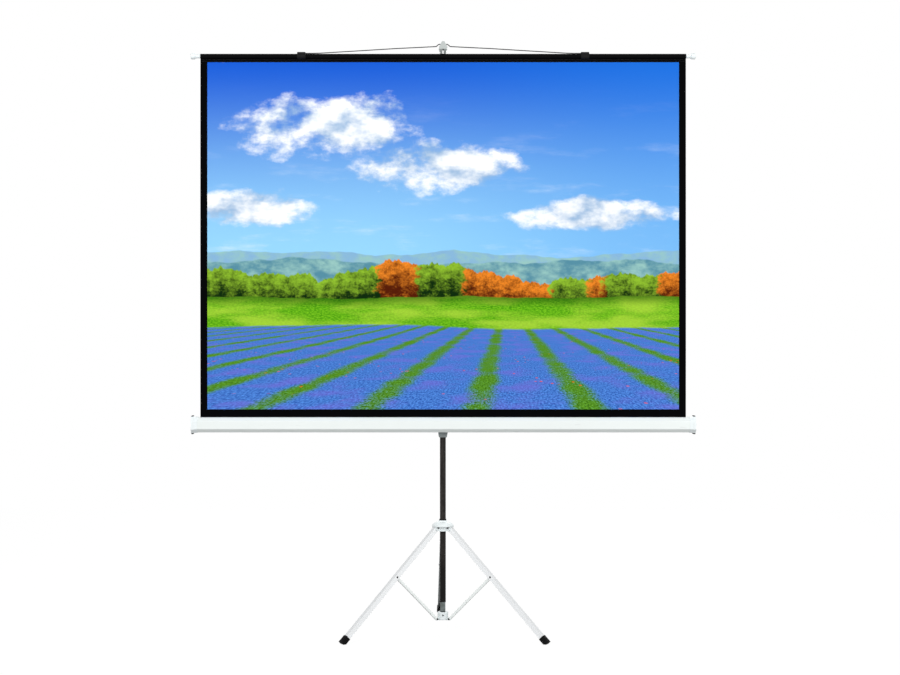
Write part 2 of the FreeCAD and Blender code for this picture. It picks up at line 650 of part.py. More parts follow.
def brace():
    """A channel brace that stands on its lower pivot and nests in the leg when folded."""
    half_width = BRACE_WIDTH / 2
    half_depth = BRACE_DEPTH / 2
    body = block((-half_depth, half_depth), (-half_width, half_width), (0, LINK))
    for height in (0, LINK):
        body = body.fuse(rod(half_depth, vec(0, -half_width, height), vec(0, half_width, height)))
    room = half_width - BRACE_WALL
    channel = block((-BRACE_DEPTH, half_depth - BRACE_WALL), (-room, room), (-BRACE_DEPTH, LINK + BRACE_DEPTH))
    trims = [block((0, BRACE_DEPTH), (-room, room), limits)
             for limits in ((-BRACE_DEPTH, BRACE_WEB_TRIM), (LINK - BRACE_WEB_TRIM, LINK + BRACE_DEPTH))]
    holes = [rod(radius + PIN_GAP, vec(0, -BRACE_WIDTH, height), vec(0, BRACE_WIDTH, height))
             for radius, height in ((BRACE_PIN_RADIUS, 0), (LEG_PIN_RADIUS, LINK))]
    return body.cut([channel] + trims + holes).removeSplitter()


def rivet(radius, width, height):
    """A pivot pin across +X with a crowned head at each end."""
    half = width / 2
    shank = rod(radius, vec(0, -half, height), vec(0, half, height))
    profile = [(0, 0), (RIVET_HEAD_RADIUS, 0), (RIVET_HEAD_RADIUS, RIVET_RIM),
               (RIVET_CROWN_RADIUS, RIVET_HEAD), (0, RIVET_HEAD)]
    heads = [lathe(profile, vec(0, side * half, height), Y_AXIS * side) for side in (-1, 1)]
    return shank.fuse(heads)


def foot():
    """A rubber boot on the end of a leg, before its sole is cut level."""
    half = LEG_SIDE / 2 + FOOT_WALL
    body = block((-half, half), (-half, half), (-FOOT_END, FOOT_LENGTH - FOOT_END))
    body = body.makeFillet(FOOT_FILLET, [edge for edge in body.Edges if edge.BoundBox.ZLength > FOOT_LENGTH / 2])
    inner = LEG_SIDE / 2 + FIT_GAP
    socket = block((-inner, inner), (-inner, inner), (-LEG_END, FOOT_LENGTH - FOOT_END))
    return body.cut(socket)


def at_upper_pivot(shape, azimuth):
    """Spread a piece of a leg and carry it to the leg's top pivot."""
    spread = shape.rotated(vec(0, 0, 0), Y_AXIS, -SPREAD)
    return around_pole(spread.translated(vec(PIVOT_CIRCLE, 0, UPPER_PIVOT)), azimuth)


def at_lower_pivot(shape, azimuth):
    """Spread a brace and carry it to its lower pivot."""
    spread = shape.rotated(vec(0, 0, 0), Y_AXIS, SPREAD)
    return around_pole(spread.translated(vec(PIVOT_CIRCLE, 0, LOWER_PIVOT)), azimuth)


def standing_foot(azimuth):
    """A boot in place, with its sole level on the floor."""
    placed = at_upper_pivot(foot(), azimuth)
    return placed.cut(block((-BIG, BIG), (-BIG, BIG), (-BIG, 0)))


def upper_hub():
    """The sliding hub: a domed cap on a neck and skirt, with a pair of cheeks for each leg."""
    rim = UPPER_PIVOT + HUB_RIM_RISE
    crown = UPPER_PIVOT + HUB_CROWN_RISE
    start = vec(HUB_RADIUS, 0, rim + HUB_RIM_HEIGHT)
    end = vec(HUB_NECK_SIDE / 2, 0, crown)
    slope = (start - end).normalize()
    middle = (start + end) / 2 + vec(-slope.z, 0, slope.x) * HUB_DOME_BULGE
    edges = [Part.LineSegment(vec(0, 0, rim), vec(HUB_RADIUS, 0, rim)).toShape(),
             Part.LineSegment(vec(HUB_RADIUS, 0, rim), start).toShape(),
             Part.Arc(start, middle, end).toShape(),
             Part.LineSegment(end, vec(0, 0, crown)).toShape(),
             Part.LineSegment(vec(0, 0, crown), vec(0, 0, rim)).toShape()]
    hub = Part.Face(Part.Wire(edges)).revolve(vec(0, 0, 0), Z_AXIS, 360)
    neck = square_post(HUB_NECK_SIDE, HUB_NECK_FILLET, UPPER_PIVOT - HUB_DROP, UPPER_PIVOT + HUB_NECK_RISE)
    skirt = rod(HUB_SKIRT_RADIUS, vec(0, 0, UPPER_PIVOT - HUB_DROP), vec(0, 0, rim))
    hub = hub.fuse([neck, skirt])
    cheek_half = HUB_SLOT / 2 + HUB_CHEEK
    for azimuth in AZIMUTHS.values():
        cheeks = block((0, HUB_CHEEK_REACH - HUB_DROP), (-cheek_half, cheek_half),
                       (UPPER_PIVOT - HUB_DROP, rim))
        nose = rod(HUB_DROP, vec(HUB_CHEEK_REACH - HUB_DROP, -cheek_half, UPPER_PIVOT),
                   vec(HUB_CHEEK_REACH - HUB_DROP, cheek_half, UPPER_PIVOT))
        nose = nose.common(block((0, BIG), (-BIG, BIG), (0, rim)))
        hub = hub.fuse(around_pole(cheeks.fuse(nose), azimuth))
    leg_half = HUB_SLOT / 2
    pivot = vec(PIVOT_CIRCLE, 0, UPPER_PIVOT)
    spread_leg = block((-leg_half, leg_half), (-leg_half, leg_half), (-2 * HUB_RADIUS, 0))
    spread_leg = spread_leg.rotated(vec(0, 0, 0), Y_AXIS, -SPREAD).translated(pivot)
    leg_top = rod(leg_half, pivot - Y_AXIS * leg_half, pivot + Y_AXIS * leg_half)
    for azimuth in AZIMUTHS.values():
        slot = block((PIVOT_CIRCLE - HUB_SLOT_ROOM, 2 * HUB_RADIUS), (-leg_half, leg_half),
                     (UPPER_PIVOT - 2 * HUB_DROP, UPPER_PIVOT))
        pin_hole = rod(LEG_PIN_RADIUS + PIN_GAP, vec(PIVOT_CIRCLE, -cheek_half, UPPER_PIVOT),
                       vec(PIVOT_CIRCLE, cheek_half, UPPER_PIVOT))
        head_rooms = [rod(RIVET_HEAD_RADIUS + FACE_GAP, vec(PIVOT_CIRCLE, side * cheek_half, UPPER_PIVOT),
                          vec(PIVOT_CIRCLE, side * (cheek_half + RIVET_HEAD + FACE_GAP), UPPER_PIVOT))
                      for side in (-1, 1)]
        hub = hub.cut([around_pole(tool, azimuth) for tool in [slot, leg_top, spread_leg, pin_hole] + head_rooms])
    bore = square_bore(POLE_SIDE + 2 * SLIDE_GAP, UPPER_PIVOT - BIG, UPPER_PIVOT + BIG)
    return hub.cut(bore).removeSplitter()


def hub_bush():
    bottom = UPPER_PIVOT + HUB_NECK_RISE
    ring = square_post(BUSH_SIDE, HUB_NECK_FILLET / 2, bottom, bottom + BUSH_HEIGHT)
    return ring.cut(square_bore(POLE_SIDE + 2 * SLIDE_GAP, bottom, bottom + BUSH_HEIGHT))


def lower_hub():
    """The fixed hub on the pole's spigot, with a tongue for each brace."""
    bottom = LOWER_PIVOT - LOWER_HUB_DROP
    height = LOWER_HUB_RISE + LOWER_HUB_DROP
    drum = Part.makeCylinder(LOWER_HUB_RADIUS, height, vec(0, 0, bottom))
    hub = drum.makeFillet(LOWER_HUB_FILLET, drum.Edges[0:1] + drum.Edges[2:3])
    half = TONGUE_THICKNESS / 2
    for azimuth in AZIMUTHS.values():
        tongue = block((0, PIVOT_CIRCLE), (-half, half), (LOWER_PIVOT - TONGUE_END, LOWER_PIVOT + TONGUE_END))
        tip = rod(TONGUE_END, vec(PIVOT_CIRCLE, -half, LOWER_PIVOT), vec(PIVOT_CIRCLE, half, LOWER_PIVOT))
        hole = rod(BRACE_PIN_RADIUS + PIN_GAP, vec(PIVOT_CIRCLE, -half, LOWER_PIVOT),
                   vec(PIVOT_CIRCLE, half, LOWER_PIVOT))
        hub = hub.fuse(around_pole(tongue.fuse(tip).cut(hole), azimuth))
    socket = square_bore(SPIGOT_SIDE + 2 * FIT_GAP, bottom + LOWER_HUB_FLOOR, LOWER_HUB_TOP)
    return hub.cut(socket).removeSplitter()


def pins(radius, width, height):
    """One pivot pin at each leg of the tripod."""
    pin = rivet(radius, width, 0).translated(vec(PIVOT_CIRCLE, 0, height))
    return group([around_pole(pin, azimuth) for azimuth in AZIMUTHS.values()])


def tripod():
    """Every piece of the stand's folding base."""
    nodes = {
        "upper_hub": upper_hub(),
        "hub_bush": hub_bush(),
        "lower_hub": lower_hub(),
        "leg_pins": pins(LEG_PIN_RADIUS, HUB_SLOT + 2 * HUB_CHEEK, UPPER_PIVOT),
        "brace_pins": pins(BRACE_PIN_RADIUS, BRACE_WIDTH, LOWER_PIVOT),
    }
    for name, azimuth in AZIMUTHS.items():
        nodes["leg_" + name] = at_upper_pivot(leg(), azimuth)
        nodes["foot_" + name] = standing_foot(azimuth)
        nodes["leg_rivet_" + name] = at_upper_pivot(rivet(LEG_PIN_RADIUS, LEG_SIDE, -LINK), azimuth)
        nodes["brace_" + name] = at_lower_pivot(brace(), azimuth)
    return nodes


def pole():
    """The pole, its extension and the hook."""
    return {
        "outer_tube": outer_tube(),
        "base_spigot": base_spigot(),
        "lock_collar": lock_collar(),
        "lock_knob": clamp_knob(LOCK_HEIGHT, COLLAR_SIDE / 2),
        "lock_stud": clamp_stud(LOCK_HEIGHT, EXTENSION_SIDE, COLLAR_SIDE / 2),
        "inner_tube": inner_tube(),
        "guide_plug": guide_plug(),
        "hook": hook(),
    }


def screen():
    """The carriage, the case with its roller, and the fabric with its bar and bail."""
    nodes = {
        "carriage": carriage(),
        "carriage_knob": clamp_knob(CASE_MIDDLE, CARRIAGE_SIDE / 2),
        "carriage_stud": clamp_stud(CASE_MIDDLE, POLE_SIDE, CARRIAGE_SIDE / 2),
        "pivot_plate": pivot_plate(),
        "pivot_bolt": pivot_bolt(),
        "pivot_nut": pivot_nut(),
        "case_shell": case_shell(),
        "roller_tube": roller_tube(),
        "wound_fabric": wound_fabric(),
        "screen_fabric": screen_fabric(),
        "fabric_hem": fabric_hem(),
        "top_bar": top_bar(),
        "bail": bail(),
    }
    pairs = {"cap": case_cap, "cap_pads": cap_pads, "roller_plug": roller_plug,
             "bar_end": bar_end, "bail_clip": bail_clip}
    for name, make in pairs.items():
        right = make()
        nodes[name + "_right"] = right
        nodes[name + "_left"] = mirrored(right)
    return nodes


NODES = {**tripod(), **pole(), **screen()}
BOX = group(list(NODES.values())).optimalBoundingBox(False, False)
ORIGIN_SHIFT = vec(-(BOX.XMin + BOX.XMax) / 2, -(BOX.YMin + BOX.YMax) / 2, -BOX.ZMin)

os.makedirs("parts", exist_ok=True)
for node_name, node_shape in NODES.items():
    node_shape.translated(ORIGIN_SHIFT).exportStep("parts/" + node_name + ".step")
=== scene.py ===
import logging
import math
from collections.abc import Callable, Iterator
from contextlib import contextmanager
from dataclasses import dataclass, field
from enum import Enum
from typing import Any

import bmesh
import bpy
from mathutils import Matrix, Vector


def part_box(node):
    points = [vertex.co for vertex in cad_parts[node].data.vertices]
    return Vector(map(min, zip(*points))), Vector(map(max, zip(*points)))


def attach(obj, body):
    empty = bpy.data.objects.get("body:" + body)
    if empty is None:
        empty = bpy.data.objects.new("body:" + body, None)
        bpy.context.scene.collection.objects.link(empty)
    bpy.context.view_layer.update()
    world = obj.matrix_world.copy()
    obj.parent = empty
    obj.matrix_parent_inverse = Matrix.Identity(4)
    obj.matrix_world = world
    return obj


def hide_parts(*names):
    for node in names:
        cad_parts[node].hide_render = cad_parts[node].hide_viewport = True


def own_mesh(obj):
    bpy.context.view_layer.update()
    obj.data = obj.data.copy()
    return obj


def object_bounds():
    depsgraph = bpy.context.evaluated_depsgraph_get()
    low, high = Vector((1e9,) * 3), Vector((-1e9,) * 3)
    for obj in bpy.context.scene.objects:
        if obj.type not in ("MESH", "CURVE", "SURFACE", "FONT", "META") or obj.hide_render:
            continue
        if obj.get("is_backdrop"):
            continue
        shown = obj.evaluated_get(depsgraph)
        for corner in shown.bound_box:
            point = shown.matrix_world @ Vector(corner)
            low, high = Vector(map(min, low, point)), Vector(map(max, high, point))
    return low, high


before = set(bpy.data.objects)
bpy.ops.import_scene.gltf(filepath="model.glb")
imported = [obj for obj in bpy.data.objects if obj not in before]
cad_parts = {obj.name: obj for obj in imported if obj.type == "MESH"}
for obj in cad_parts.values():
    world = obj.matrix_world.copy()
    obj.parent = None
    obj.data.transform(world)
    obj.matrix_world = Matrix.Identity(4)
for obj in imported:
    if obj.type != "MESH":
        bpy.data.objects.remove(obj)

LOG = logging.getLogger("screen")
Triple = tuple[float, float, float]
Colour = Triple
Span = tuple[float, float]
BLACK: Colour = (0.0, 0.0, 0.0)
WHITE: Colour = (1.0, 1.0, 1.0)
NEARLY = 0.9  # share of a length, or of a direction along an axis, that counts as nearly all of it
WHOLLY = 0.99  # share that counts as the very end
SIDEWAYS = 0.5  # a direction with less than this along an axis counts as sideways to it


def shade(red: int, green: int, blue: int) -> Colour:
    """Turn display levels into the values that shaders use, by the sRGB curve.

    Args:
        red: Level from 0 to 255.
        green: Level from 0 to 255.
        blue: Level from 0 to 255.

    Returns:
        The three linear values.
    """
    levels = [level / 255 for level in (red, green, blue)]
    return tuple(level / 12.92 if level < 0.04 else ((level + 0.055) / 1.055) ** 2.4 for level in levels)


class Signal:
    """A node's output; an expression on it adds Math nodes."""

    def __init__(self, book: "NodeBook", socket: bpy.types.NodeSocket) -> None:
        """Keep the socket and the book whose tree it is in."""
        self.book = book
        self.socket = socket

    def math(self, operation: str, *operands: "Signal | float") -> "Signal":
        """Add a Math node.

        Args:
            operation: The node's operation.
            operands: Its inputs, in order.

        Returns:
            The result.
        """
        return self.book.signal("ShaderNodeMath", {"operation": operation}, dict(enumerate(operands)))

    def __add__(self, other: "Signal | float") -> "Signal":
        """This plus another."""
        return self.math("ADD", self, other)

    def __radd__(self, other: float) -> "Signal":
        """A number plus this."""
        return self.math("ADD", other, self)

    def __sub__(self, other: "Signal | float") -> "Signal":
        """This minus another."""
        return self.math("SUBTRACT", self, other)

    def __rsub__(self, other: float) -> "Signal":
        """A number minus this."""
        return self.math("SUBTRACT", other, self)

    def __mul__(self, other: "Signal | float") -> "Signal":
        """This times another."""
        return self.math("MULTIPLY", self, other)

    def __rmul__(self, other: float) -> "Signal":
        """A number times this."""
        return self.math("MULTIPLY", other, self)

    def __truediv__(self, other: "Signal | float") -> "Signal":
        """This divided by another."""
        return self.math("DIVIDE", self, other)

    def __rtruediv__(self, other: float) -> "Signal":
        """A number divided by this."""
        return self.math("DIVIDE", other, self)

    def wave(self) -> "Signal":
        """The sine of this."""
        return self.math("SINE", self)

    def above(self, limit: float) -> "Signal":
        """One where this is over a limit, otherwise nought."""
        return self.math("GREATER_THAN", self, limit)

    def below(self, limit: float) -> "Signal":
        """One where this is under a limit, otherwise nought."""
        return self.math("LESS_THAN", self, limit)

    def most(self, other: "Signal | float") -> "Signal":
        """The larger of this and another."""
        return self.math("MAXIMUM", self, other)

    def least(self, other: "Signal | float") -> "Signal":
        """The smaller of this and another."""
        return self.math("MINIMUM", self, other)

    def swing(self, reach: float) -> "Signal":
        """Turn noise between nought and one into a swing about nought."""
        return reach * (self - 0.5)

    def smooth(self, low: float, high: float) -> "Signal":
        """Ease from nought to one between two limits.

        Args:
            low: Where the result is nought.
            high: Where the result is one.

        Returns:
            The eased value.
        """
        return self.book.signal("ShaderNodeMapRange", {"interpolation_type": "SMOOTHSTEP"},
                                {"Value": self, "From Min": low, "From Max": high})


class NodeBook:
    """A node tree while it is written."""

    def __init__(self, tree: bpy.types.NodeTree) -> None:
        """Take over a tree with its first nodes."""
        self.tree = tree

    def node(self, kind: str, settings: dict[str, Any], inputs: dict[str | int, Any]) -> bpy.types.Node:
        """Add a node.

        Args:
            kind: The node's type.
            settings: Its properties, which are set first.
            inputs: Values or signals for its sockets, by name or number.

        Returns:
            The node.
        """
        made = self.tree.nodes.new(kind)
        for name, value in settings.items():
            setattr(made, name, value)
        self.feed(made, inputs)
        return made

    def feed(self, node: bpy.types.Node, inputs: dict[str | int, Any]) -> None:
        """Set or link a node's sockets.

        Args:
            node: The node.
            inputs: Values or signals for its sockets, by name or number.
        """
        for key, value in inputs.items():
            socket = node.inputs[key]
            if isinstance(value, Signal):
                self.tree.links.new(value.socket, socket)
            elif socket.type == "RGBA":
                socket.default_value = (*value, 1.0)
            else:
                socket.default_value = value

    def signal(self, kind: str, settings: dict[str, Any], inputs: dict[str | int, Any],
               output: str | int = 0) -> Signal:
        """Add a node and take one of its outputs.

        Args:
            kind: The node's type.
            settings: Its properties.
            inputs: Values or signals for its sockets.
            output: The output's name or number.

        Returns:
            The output.
        """
        return Signal(self, self.node(kind, settings, inputs).outputs[output])

    def place(self, scale: Triple = (1, 1, 1)) -> Signal:
        """The piece's own coordinates in metres, stretched by a scale on each axis."""
        own = self.signal("ShaderNodeTexCoord", {}, {}, "Object")
        return self.signal("ShaderNodeVectorMath", {"operation": "MULTIPLY"}, {0: own, 1: scale})

    def facing(self) -> Signal:
        """The way that the piece's surface faces, on its own axes."""
        return self.signal("ShaderNodeTexCoord", {}, {}, "Normal")

    def point(self, x: Signal | float, y: Signal | float, z: Signal | float = 0.0) -> Signal:
        """Join three values into a point."""
        return self.signal("ShaderNodeCombineXYZ", {}, {0: x, 1: y, 2: z})

    def split(self, vector: Signal) -> tuple[Signal, Signal, Signal]:
        """Take a point apart.

        Args:
            vector: The point.

        Returns:
            Its three values.
        """
        node = self.node("ShaderNodeSeparateXYZ", {}, {0: vector})
        return tuple(Signal(self, socket) for socket in node.outputs)

    def noise(self, where: Signal, scale: float, detail: float = 2.0, roughness: float = 0.5) -> Signal:
        """Soft noise between nought and one.

        Args:
            where: The point that it is read at.
            scale: How many features there are in a unit.
            detail: How many finer layers it has.
            roughness: How strong these are.

        Returns:
            The noise.
        """
        return self.signal("ShaderNodeTexNoise", {}, {"Vector": where, "Scale": scale, "Detail": detail,
                                                      "Roughness": roughness})

    def cells(self, where: Signal, scale: float) -> Signal:
        """Distance to the nearest of many scattered points."""
        return self.signal("ShaderNodeTexVoronoi", {}, {"Vector": where, "Scale": scale}, "Distance")

    def mix(self, share: Signal | float, low: Signal | Colour, high: Signal | Colour) -> Signal:
        """Blend two colours.

        Args:
            share: How much of the second shows.
            low: The first colour.
            high: The second colour.

        Returns:
            The blend.
        """
        return self.signal("ShaderNodeMix", {"data_type": "RGBA"}, {0: share, 6: low, 7: high}, 2)

    def bump(self, height: Signal, depth: float, strength: float) -> Signal:
        """Turn a height into a surface normal."""
        return self.signal("ShaderNodeBump", {},
                           {"Strength": strength, "Distance": depth, "Height": height})

    def surface(self, inputs: dict[str, Any]) -> None:
        """Set the sockets of the material's Principled shader."""
        self.feed(self.tree.nodes["Principled BSDF"], inputs)


class Run(Enum):
    """The way that drawn lines, brush marks and scuffs run on a piece."""

    ALONG_X = (0.02, 1.0, 1.0)
    ALONG_Z = (1.0, 1.0, 0.02)
    ALL_WAYS = (1.0, 1.0, 1.0)


@dataclass(frozen=True)
class Finish:
    """A surface finish, made once as a procedural material."""

    name: str
    colour: Colour
    roughness: float

    def material(self) -> bpy.types.Material:
        """Find the finish's material, and write its nodes at the first call.

        Returns:
            The material that pieces of this finish share.
        """
        found = bpy.data.materials.get(self.name)
        if found is None:
            found = bpy.data.materials.new(self.name)
            found.use_nodes = True
            self.write(NodeBook(found.node_tree))
        return found

    def tone(self, share: float) -> Colour:
        """The finish's colour, lighter or darker by a share."""
        return tuple(min(1.0, value * share) for value in self.colour)

    def varied(self, book: NodeBook, share: Signal, tones: Span) -> Signal:
        """The finish's colour, from a darker to a lighter tone."""
        return book.mix(share, self.tone(tones[0]), self.tone(tones[1]))

    def write(self, book: NodeBook) -> None:
        """Write the nodes; each kind of finish has its own."""
        raise NotImplementedError


@dataclass(frozen=True)
class Coating(Finish):
    """Sprayed paint on metal, with a faint orange peel, fine scuffs, and dust with painted shade on the
    faces that look up.
    """

    run: Run = Run.ALL_WAYS
    scuff_colour: Colour = shade(150, 152, 150)
    scuff_share: float = 0.25
    scuff_rough: float = 0.5
    scuff_dent: float = 2.0
    dust_colour: Colour = shade(150, 152, 153)
    dust_share: float = 0.05
    dust_and_shade_slope: Span = (0.2, 0.65)
    dust_and_shade_grain: float = 0.6
    peel_scale: float = 700.0
    cloud_scale: float = 7.0
    mark_scale: float = 260.0
    mark_edge: Span = (0.63, 0.72)
    patch_scale: float = 16.0
    patch_edge: Span = (0.52, 0.68)
    tones: Span = (0.96, 1.02)
    rough_swing: float = 0.12
    relief: Span = (0.0001, 0.1)

    def ground(self, book: NodeBook, cloud: Signal) -> Signal:
        """The paint's colour without wear, which changes slowly over the surface."""
        return self.varied(book, cloud, self.tones)

    def write(self, book: NodeBook) -> None:
        """Write the coating's nodes.

        Args:
            book: The tree that is written.
        """
        peel = book.noise(book.place(), self.peel_scale, detail=1)
        cloud = book.noise(book.place(), self.cloud_scale, detail=3)
        marks = book.noise(book.place(self.run.value), self.mark_scale, roughness=0.6)
        patches = book.noise(book.place(), self.patch_scale).smooth(*self.patch_edge)
        scuff = marks.smooth(*self.mark_edge) * patches * self.scuff_share
        # Dust and painted shade: faces that look up are greyed; at a large dust_share this is mostly
        # painted shade, with some dust.
        upward = book.split(book.facing())[2]
        grain = 1 - self.dust_and_shade_grain + self.dust_and_shade_grain * cloud + self.dust_and_shade_grain * marks
        dust = upward.smooth(*self.dust_and_shade_slope) * grain * self.dust_share
        base = book.mix(dust, self.ground(book, cloud), self.dust_colour)
        base = book.mix(scuff, base, self.scuff_colour)
        rough = self.roughness + cloud.swing(self.rough_swing) + self.scuff_rough * scuff
        book.surface({"Base Color": base, "Roughness": rough,
                      "Normal": book.bump(peel - self.scuff_dent * scuff, *self.relief)})


@dataclass(frozen=True)
class ChannelPaint(Coating):
    """The legs' paint, with painted shade on the inside of their channels."""

    pole: Span = (0.0, 0.0)
    channel_shade_colour: Colour = shade(165, 171, 170)
    channel_shade_edge: Span = (0.002, -0.004)

    def ground(self, book: NodeBook, cloud: Signal) -> Signal:
        """The paint's colour, greyer on the faces that look towards the pole, as painted shade.

        Args:
            book: The tree that is written.
            cloud: The slow change over the surface.

        Returns:
            The colour.
        """
        x, y, _ = book.split(book.place())
        facing_x, facing_y, _ = book.split(book.facing())
        # Painted shade: faces turned towards the pole, inside the channels, are greyed.
        outward = (x - self.pole[0]) * facing_x + (y - self.pole[1]) * facing_y
        return book.mix(outward.smooth(*self.channel_shade_edge), super().ground(book, cloud), self.channel_shade_colour)


@dataclass(frozen=True)
class Enamel(Finish):
    """Dark stoved enamel on a drawn tube: mottled and streaked, rubbed along it, with painted shade
    darkening it towards its foot.
    """

    rub_colour: Colour = shade(84, 77, 73)
    rub_share: float = 0.5
    rub_edge: Span = (0.55, 0.75)
    rub_polish: float = 0.1
    patch_stretch: Triple = (1, 1, 0.35)
    patch_scale: float = 11.0
    patch_edge: Span = (0.45, 0.7)
    mottle_scale: float = 95.0
    streak_stretch: Triple = (1, 1, 0.08)
    streak_scale: float = 170.0
    streak_share: float = 0.6
    drawn_scale: float = 520.0
    drawn_height: float = 0.4
    depth_edge: Span = (0.36, 0.64)
    tones: Span = (0.55, 1.45)
    # Painted shade towards the tube's foot: the heights over which it eases in, and how dark it gets there.
    painted_shade_band: Span = (0.22, 0.40)
    painted_shade_tone: float = 0.2
    rough_swing: float = 0.2
    gloss: float = 0.12
    relief: Span = (0.0002, 0.1)

    def write(self, book: NodeBook) -> None:
        """Write the enamel's nodes.

        Args:
            book: The tree that is written.
        """
        mottle = book.noise(book.place(), self.mottle_scale, detail=4, roughness=0.6)
        streaks = book.noise(book.place(self.streak_stretch), self.streak_scale)
        drawn = book.noise(book.place(Run.ALONG_Z.value), self.drawn_scale)
        patches = book.noise(book.place(self.patch_stretch), self.patch_scale, detail=3)
        rub = drawn.smooth(*self.rub_edge) * patches.smooth(*self.patch_edge)
        height = book.split(book.place())[2]
        depth = (1 - self.streak_share) * mottle + self.streak_share * streaks
        base = self.varied(book, depth.smooth(*self.depth_edge), self.tones)
        base = book.mix(rub * self.rub_share, base, self.rub_colour)
        # Painted shade: the colour fades towards black near the tube's foot, standing in for shade there.
        lit = self.painted_shade_tone + (1 - self.painted_shade_tone) * height.smooth(*self.painted_shade_band)
        rough = self.roughness + mottle.swing(self.rough_swing) - self.rub_polish * rub
        book.surface({"Base Color": book.mix(lit, BLACK, base), "Roughness": rough,
                      "Specular IOR Level": self.gloss,
                      "Normal": book.bump(mottle + self.drawn_height * drawn, *self.relief)})


@dataclass(frozen=True)
class Moulding(Finish):
    """Moulded plastic with a fine spark-eroded grain and slightly polished patches."""

    gloss: float = 0.5
    grain_scale: float = 1500.0
    flow_scale: float = 30.0
    handled_scale: float = 55.0
    handled_edge: Span = (0.55, 0.75)
    handled_polish: float = 0.12
    tones: Span = (0.94, 1.03)
    rough_swing: float = 0.16
    relief: Span = (0.0003, 0.1)

    def write(self, book: NodeBook) -> None:
        """Write the moulding's nodes.

        Args:
            book: The tree that is written.
        """
        grain = book.noise(book.place(), self.grain_scale, detail=1)
        flow = book.noise(book.place(), self.flow_scale, detail=3)
        handled = book.noise(book.place(), self.handled_scale).smooth(*self.handled_edge)
        rough = self.roughness + flow.swing(self.rough_swing) - self.handled_polish * handled
        book.surface({"Base Color": self.varied(book, flow, self.tones), "Roughness": rough,
                      "Specular IOR Level": self.gloss, "Normal": book.bump(grain, *self.relief)})


@dataclass(frozen=True)
class Metal(Finish):
    """Bare or plated metal with drawn lines and a slightly uneven tint."""

    tint: Colour = shade(205, 205, 192)
    run: Run = Run.ALL_WAYS
    line_scale: float = 1400.0
    line_swing: float = 0.25
    bloom_scale: float = 70.0
    bloom_edge: Span = (0.35, 0.7)
    bloom_swing: float = 0.15
    relief: Span = (0.0002, 0.1)

    def write(self, book: NodeBook) -> None:
        """Write the metal's nodes.

        Args:
            book: The tree that is written.
        """
        lines = book.noise(book.place(self.run.value), self.line_scale)
        bloom = book.noise(book.place(), self.bloom_scale, detail=3)
        base = book.mix(bloom.smooth(*self.bloom_edge), self.colour, self.tint)
        rough = self.roughness + lines.swing(self.line_swing) + bloom.swing(self.bloom_swing)
        book.surface({"Base Color": self.mix_painted_shade(book, base), "Metallic": 1.0, "Roughness": rough,
                      "Normal": book.bump(lines, *self.relief)})

    def mix_painted_shade(self, book: NodeBook, base: Signal) -> Signal:
        """Clean metal; kinds with painted shade mix it in here."""
        return base


@dataclass(frozen=True)
class StandingTube(Metal):
    """Bare tube with a painted shadow line where it stands in its hub."""

    seat: float = 0.0
    reach: float = 0.007
    painted_shadow: Colour = shade(34, 36, 36)

    def mix_painted_shade(self, book: NodeBook, base: Signal) -> Signal:
        """Mix in the painted shadow above the seat."""
        # Painted shadow: the tube darkens just above where it enters the hub.
        height = book.split(book.place())[2] - self.seat
        return book.mix(height.smooth(0.0, self.reach), self.painted_shadow, base)


@dataclass(frozen=True)
class Rubber(Finish):
    """Black rubber with a dull skin and some floor dust."""

    dust_colour: Colour = shade(120, 116, 110)
    dust_scale: float = 60.0
    dust_edge: Span = (0.5, 0.8)
    dust_share: float = 0.04
    dust_rough: float = 0.12
    skin_scale: float = 1100.0
    gloss: float = 0.12
    relief: Span = (0.0004, 0.2)

    def write(self, book: NodeBook) -> None:
        """Write the rubber's nodes.

        Args:
            book: The tree that is written.
        """
        skin = book.noise(book.place(), self.skin_scale)
        dust = book.noise(book.place(), self.dust_scale, detail=4, roughness=0.65).smooth(*self.dust_edge)
        base = book.mix(dust * self.dust_share, self.colour, self.dust_colour)
        book.surface({"Base Color": base, "Roughness": self.roughness + self.dust_rough * dust,
                      "Specular IOR Level": self.gloss, "Normal": book.bump(skin, *self.relief)})


@dataclass(frozen=True)
class Cloth(Finish):
    """Coated screen cloth: a fine plain weave under a matt skin."""

    threads: float = 5200.0
    drift_scale: float = 9.0
    lint_scale: float = 800.0
    lint_edge: Span = (0.66, 0.8)
    lint_share: float = 0.05
    lint_colour: Colour = shade(200, 200, 200)
    tones: Span = (0.8, 1.25)
    rough_swing: float = 0.1
    gloss: float = 0.05
    relief: Span = (0.0001, 0.25)

    def weave(self, book: NodeBook) -> Signal:
        """The height of crossing warp and weft threads."""
        along, _, up = book.split(book.place((self.threads, self.threads, self.threads)))
        return along.wave() * up.wave()

    def write(self, book: NodeBook) -> None:
        """Write the cloth's nodes.

        Args:
            book: The tree that is written.
        """
        drift = book.noise(book.place(), self.drift_scale, detail=3)
        lint = book.noise(book.place(), self.lint_scale).smooth(*self.lint_edge)
        base = book.mix(lint * self.lint_share, self.varied(book, drift, self.tones), self.lint_colour)
        book.surface({"Base Color": base, "Roughness": self.roughness + drift.swing(self.rough_swing),
                      "Specular IOR Level": self.gloss,
                      "Normal": book.bump(self.weave(book), *self.relief)})


@dataclass(frozen=True)
class Thread(Finish):
    """Twisted sewing thread."""

    twist_scale: float = 2600.0
    tones: Span = (0.6, 1.6)
    relief: Span = (0.0002, 0.4)

    def write(self, book: NodeBook) -> None:
        """Write the thread's nodes.

        Args:
            book: The tree that is written.
        """
        twist = book.noise(book.place(), self.twist_scale, detail=1)
        book.surface({"Base Color": self.varied(book, twist, self.tones), "Roughness": self.roughness,
                      "Normal": book.bump(twist, *self.relief)})


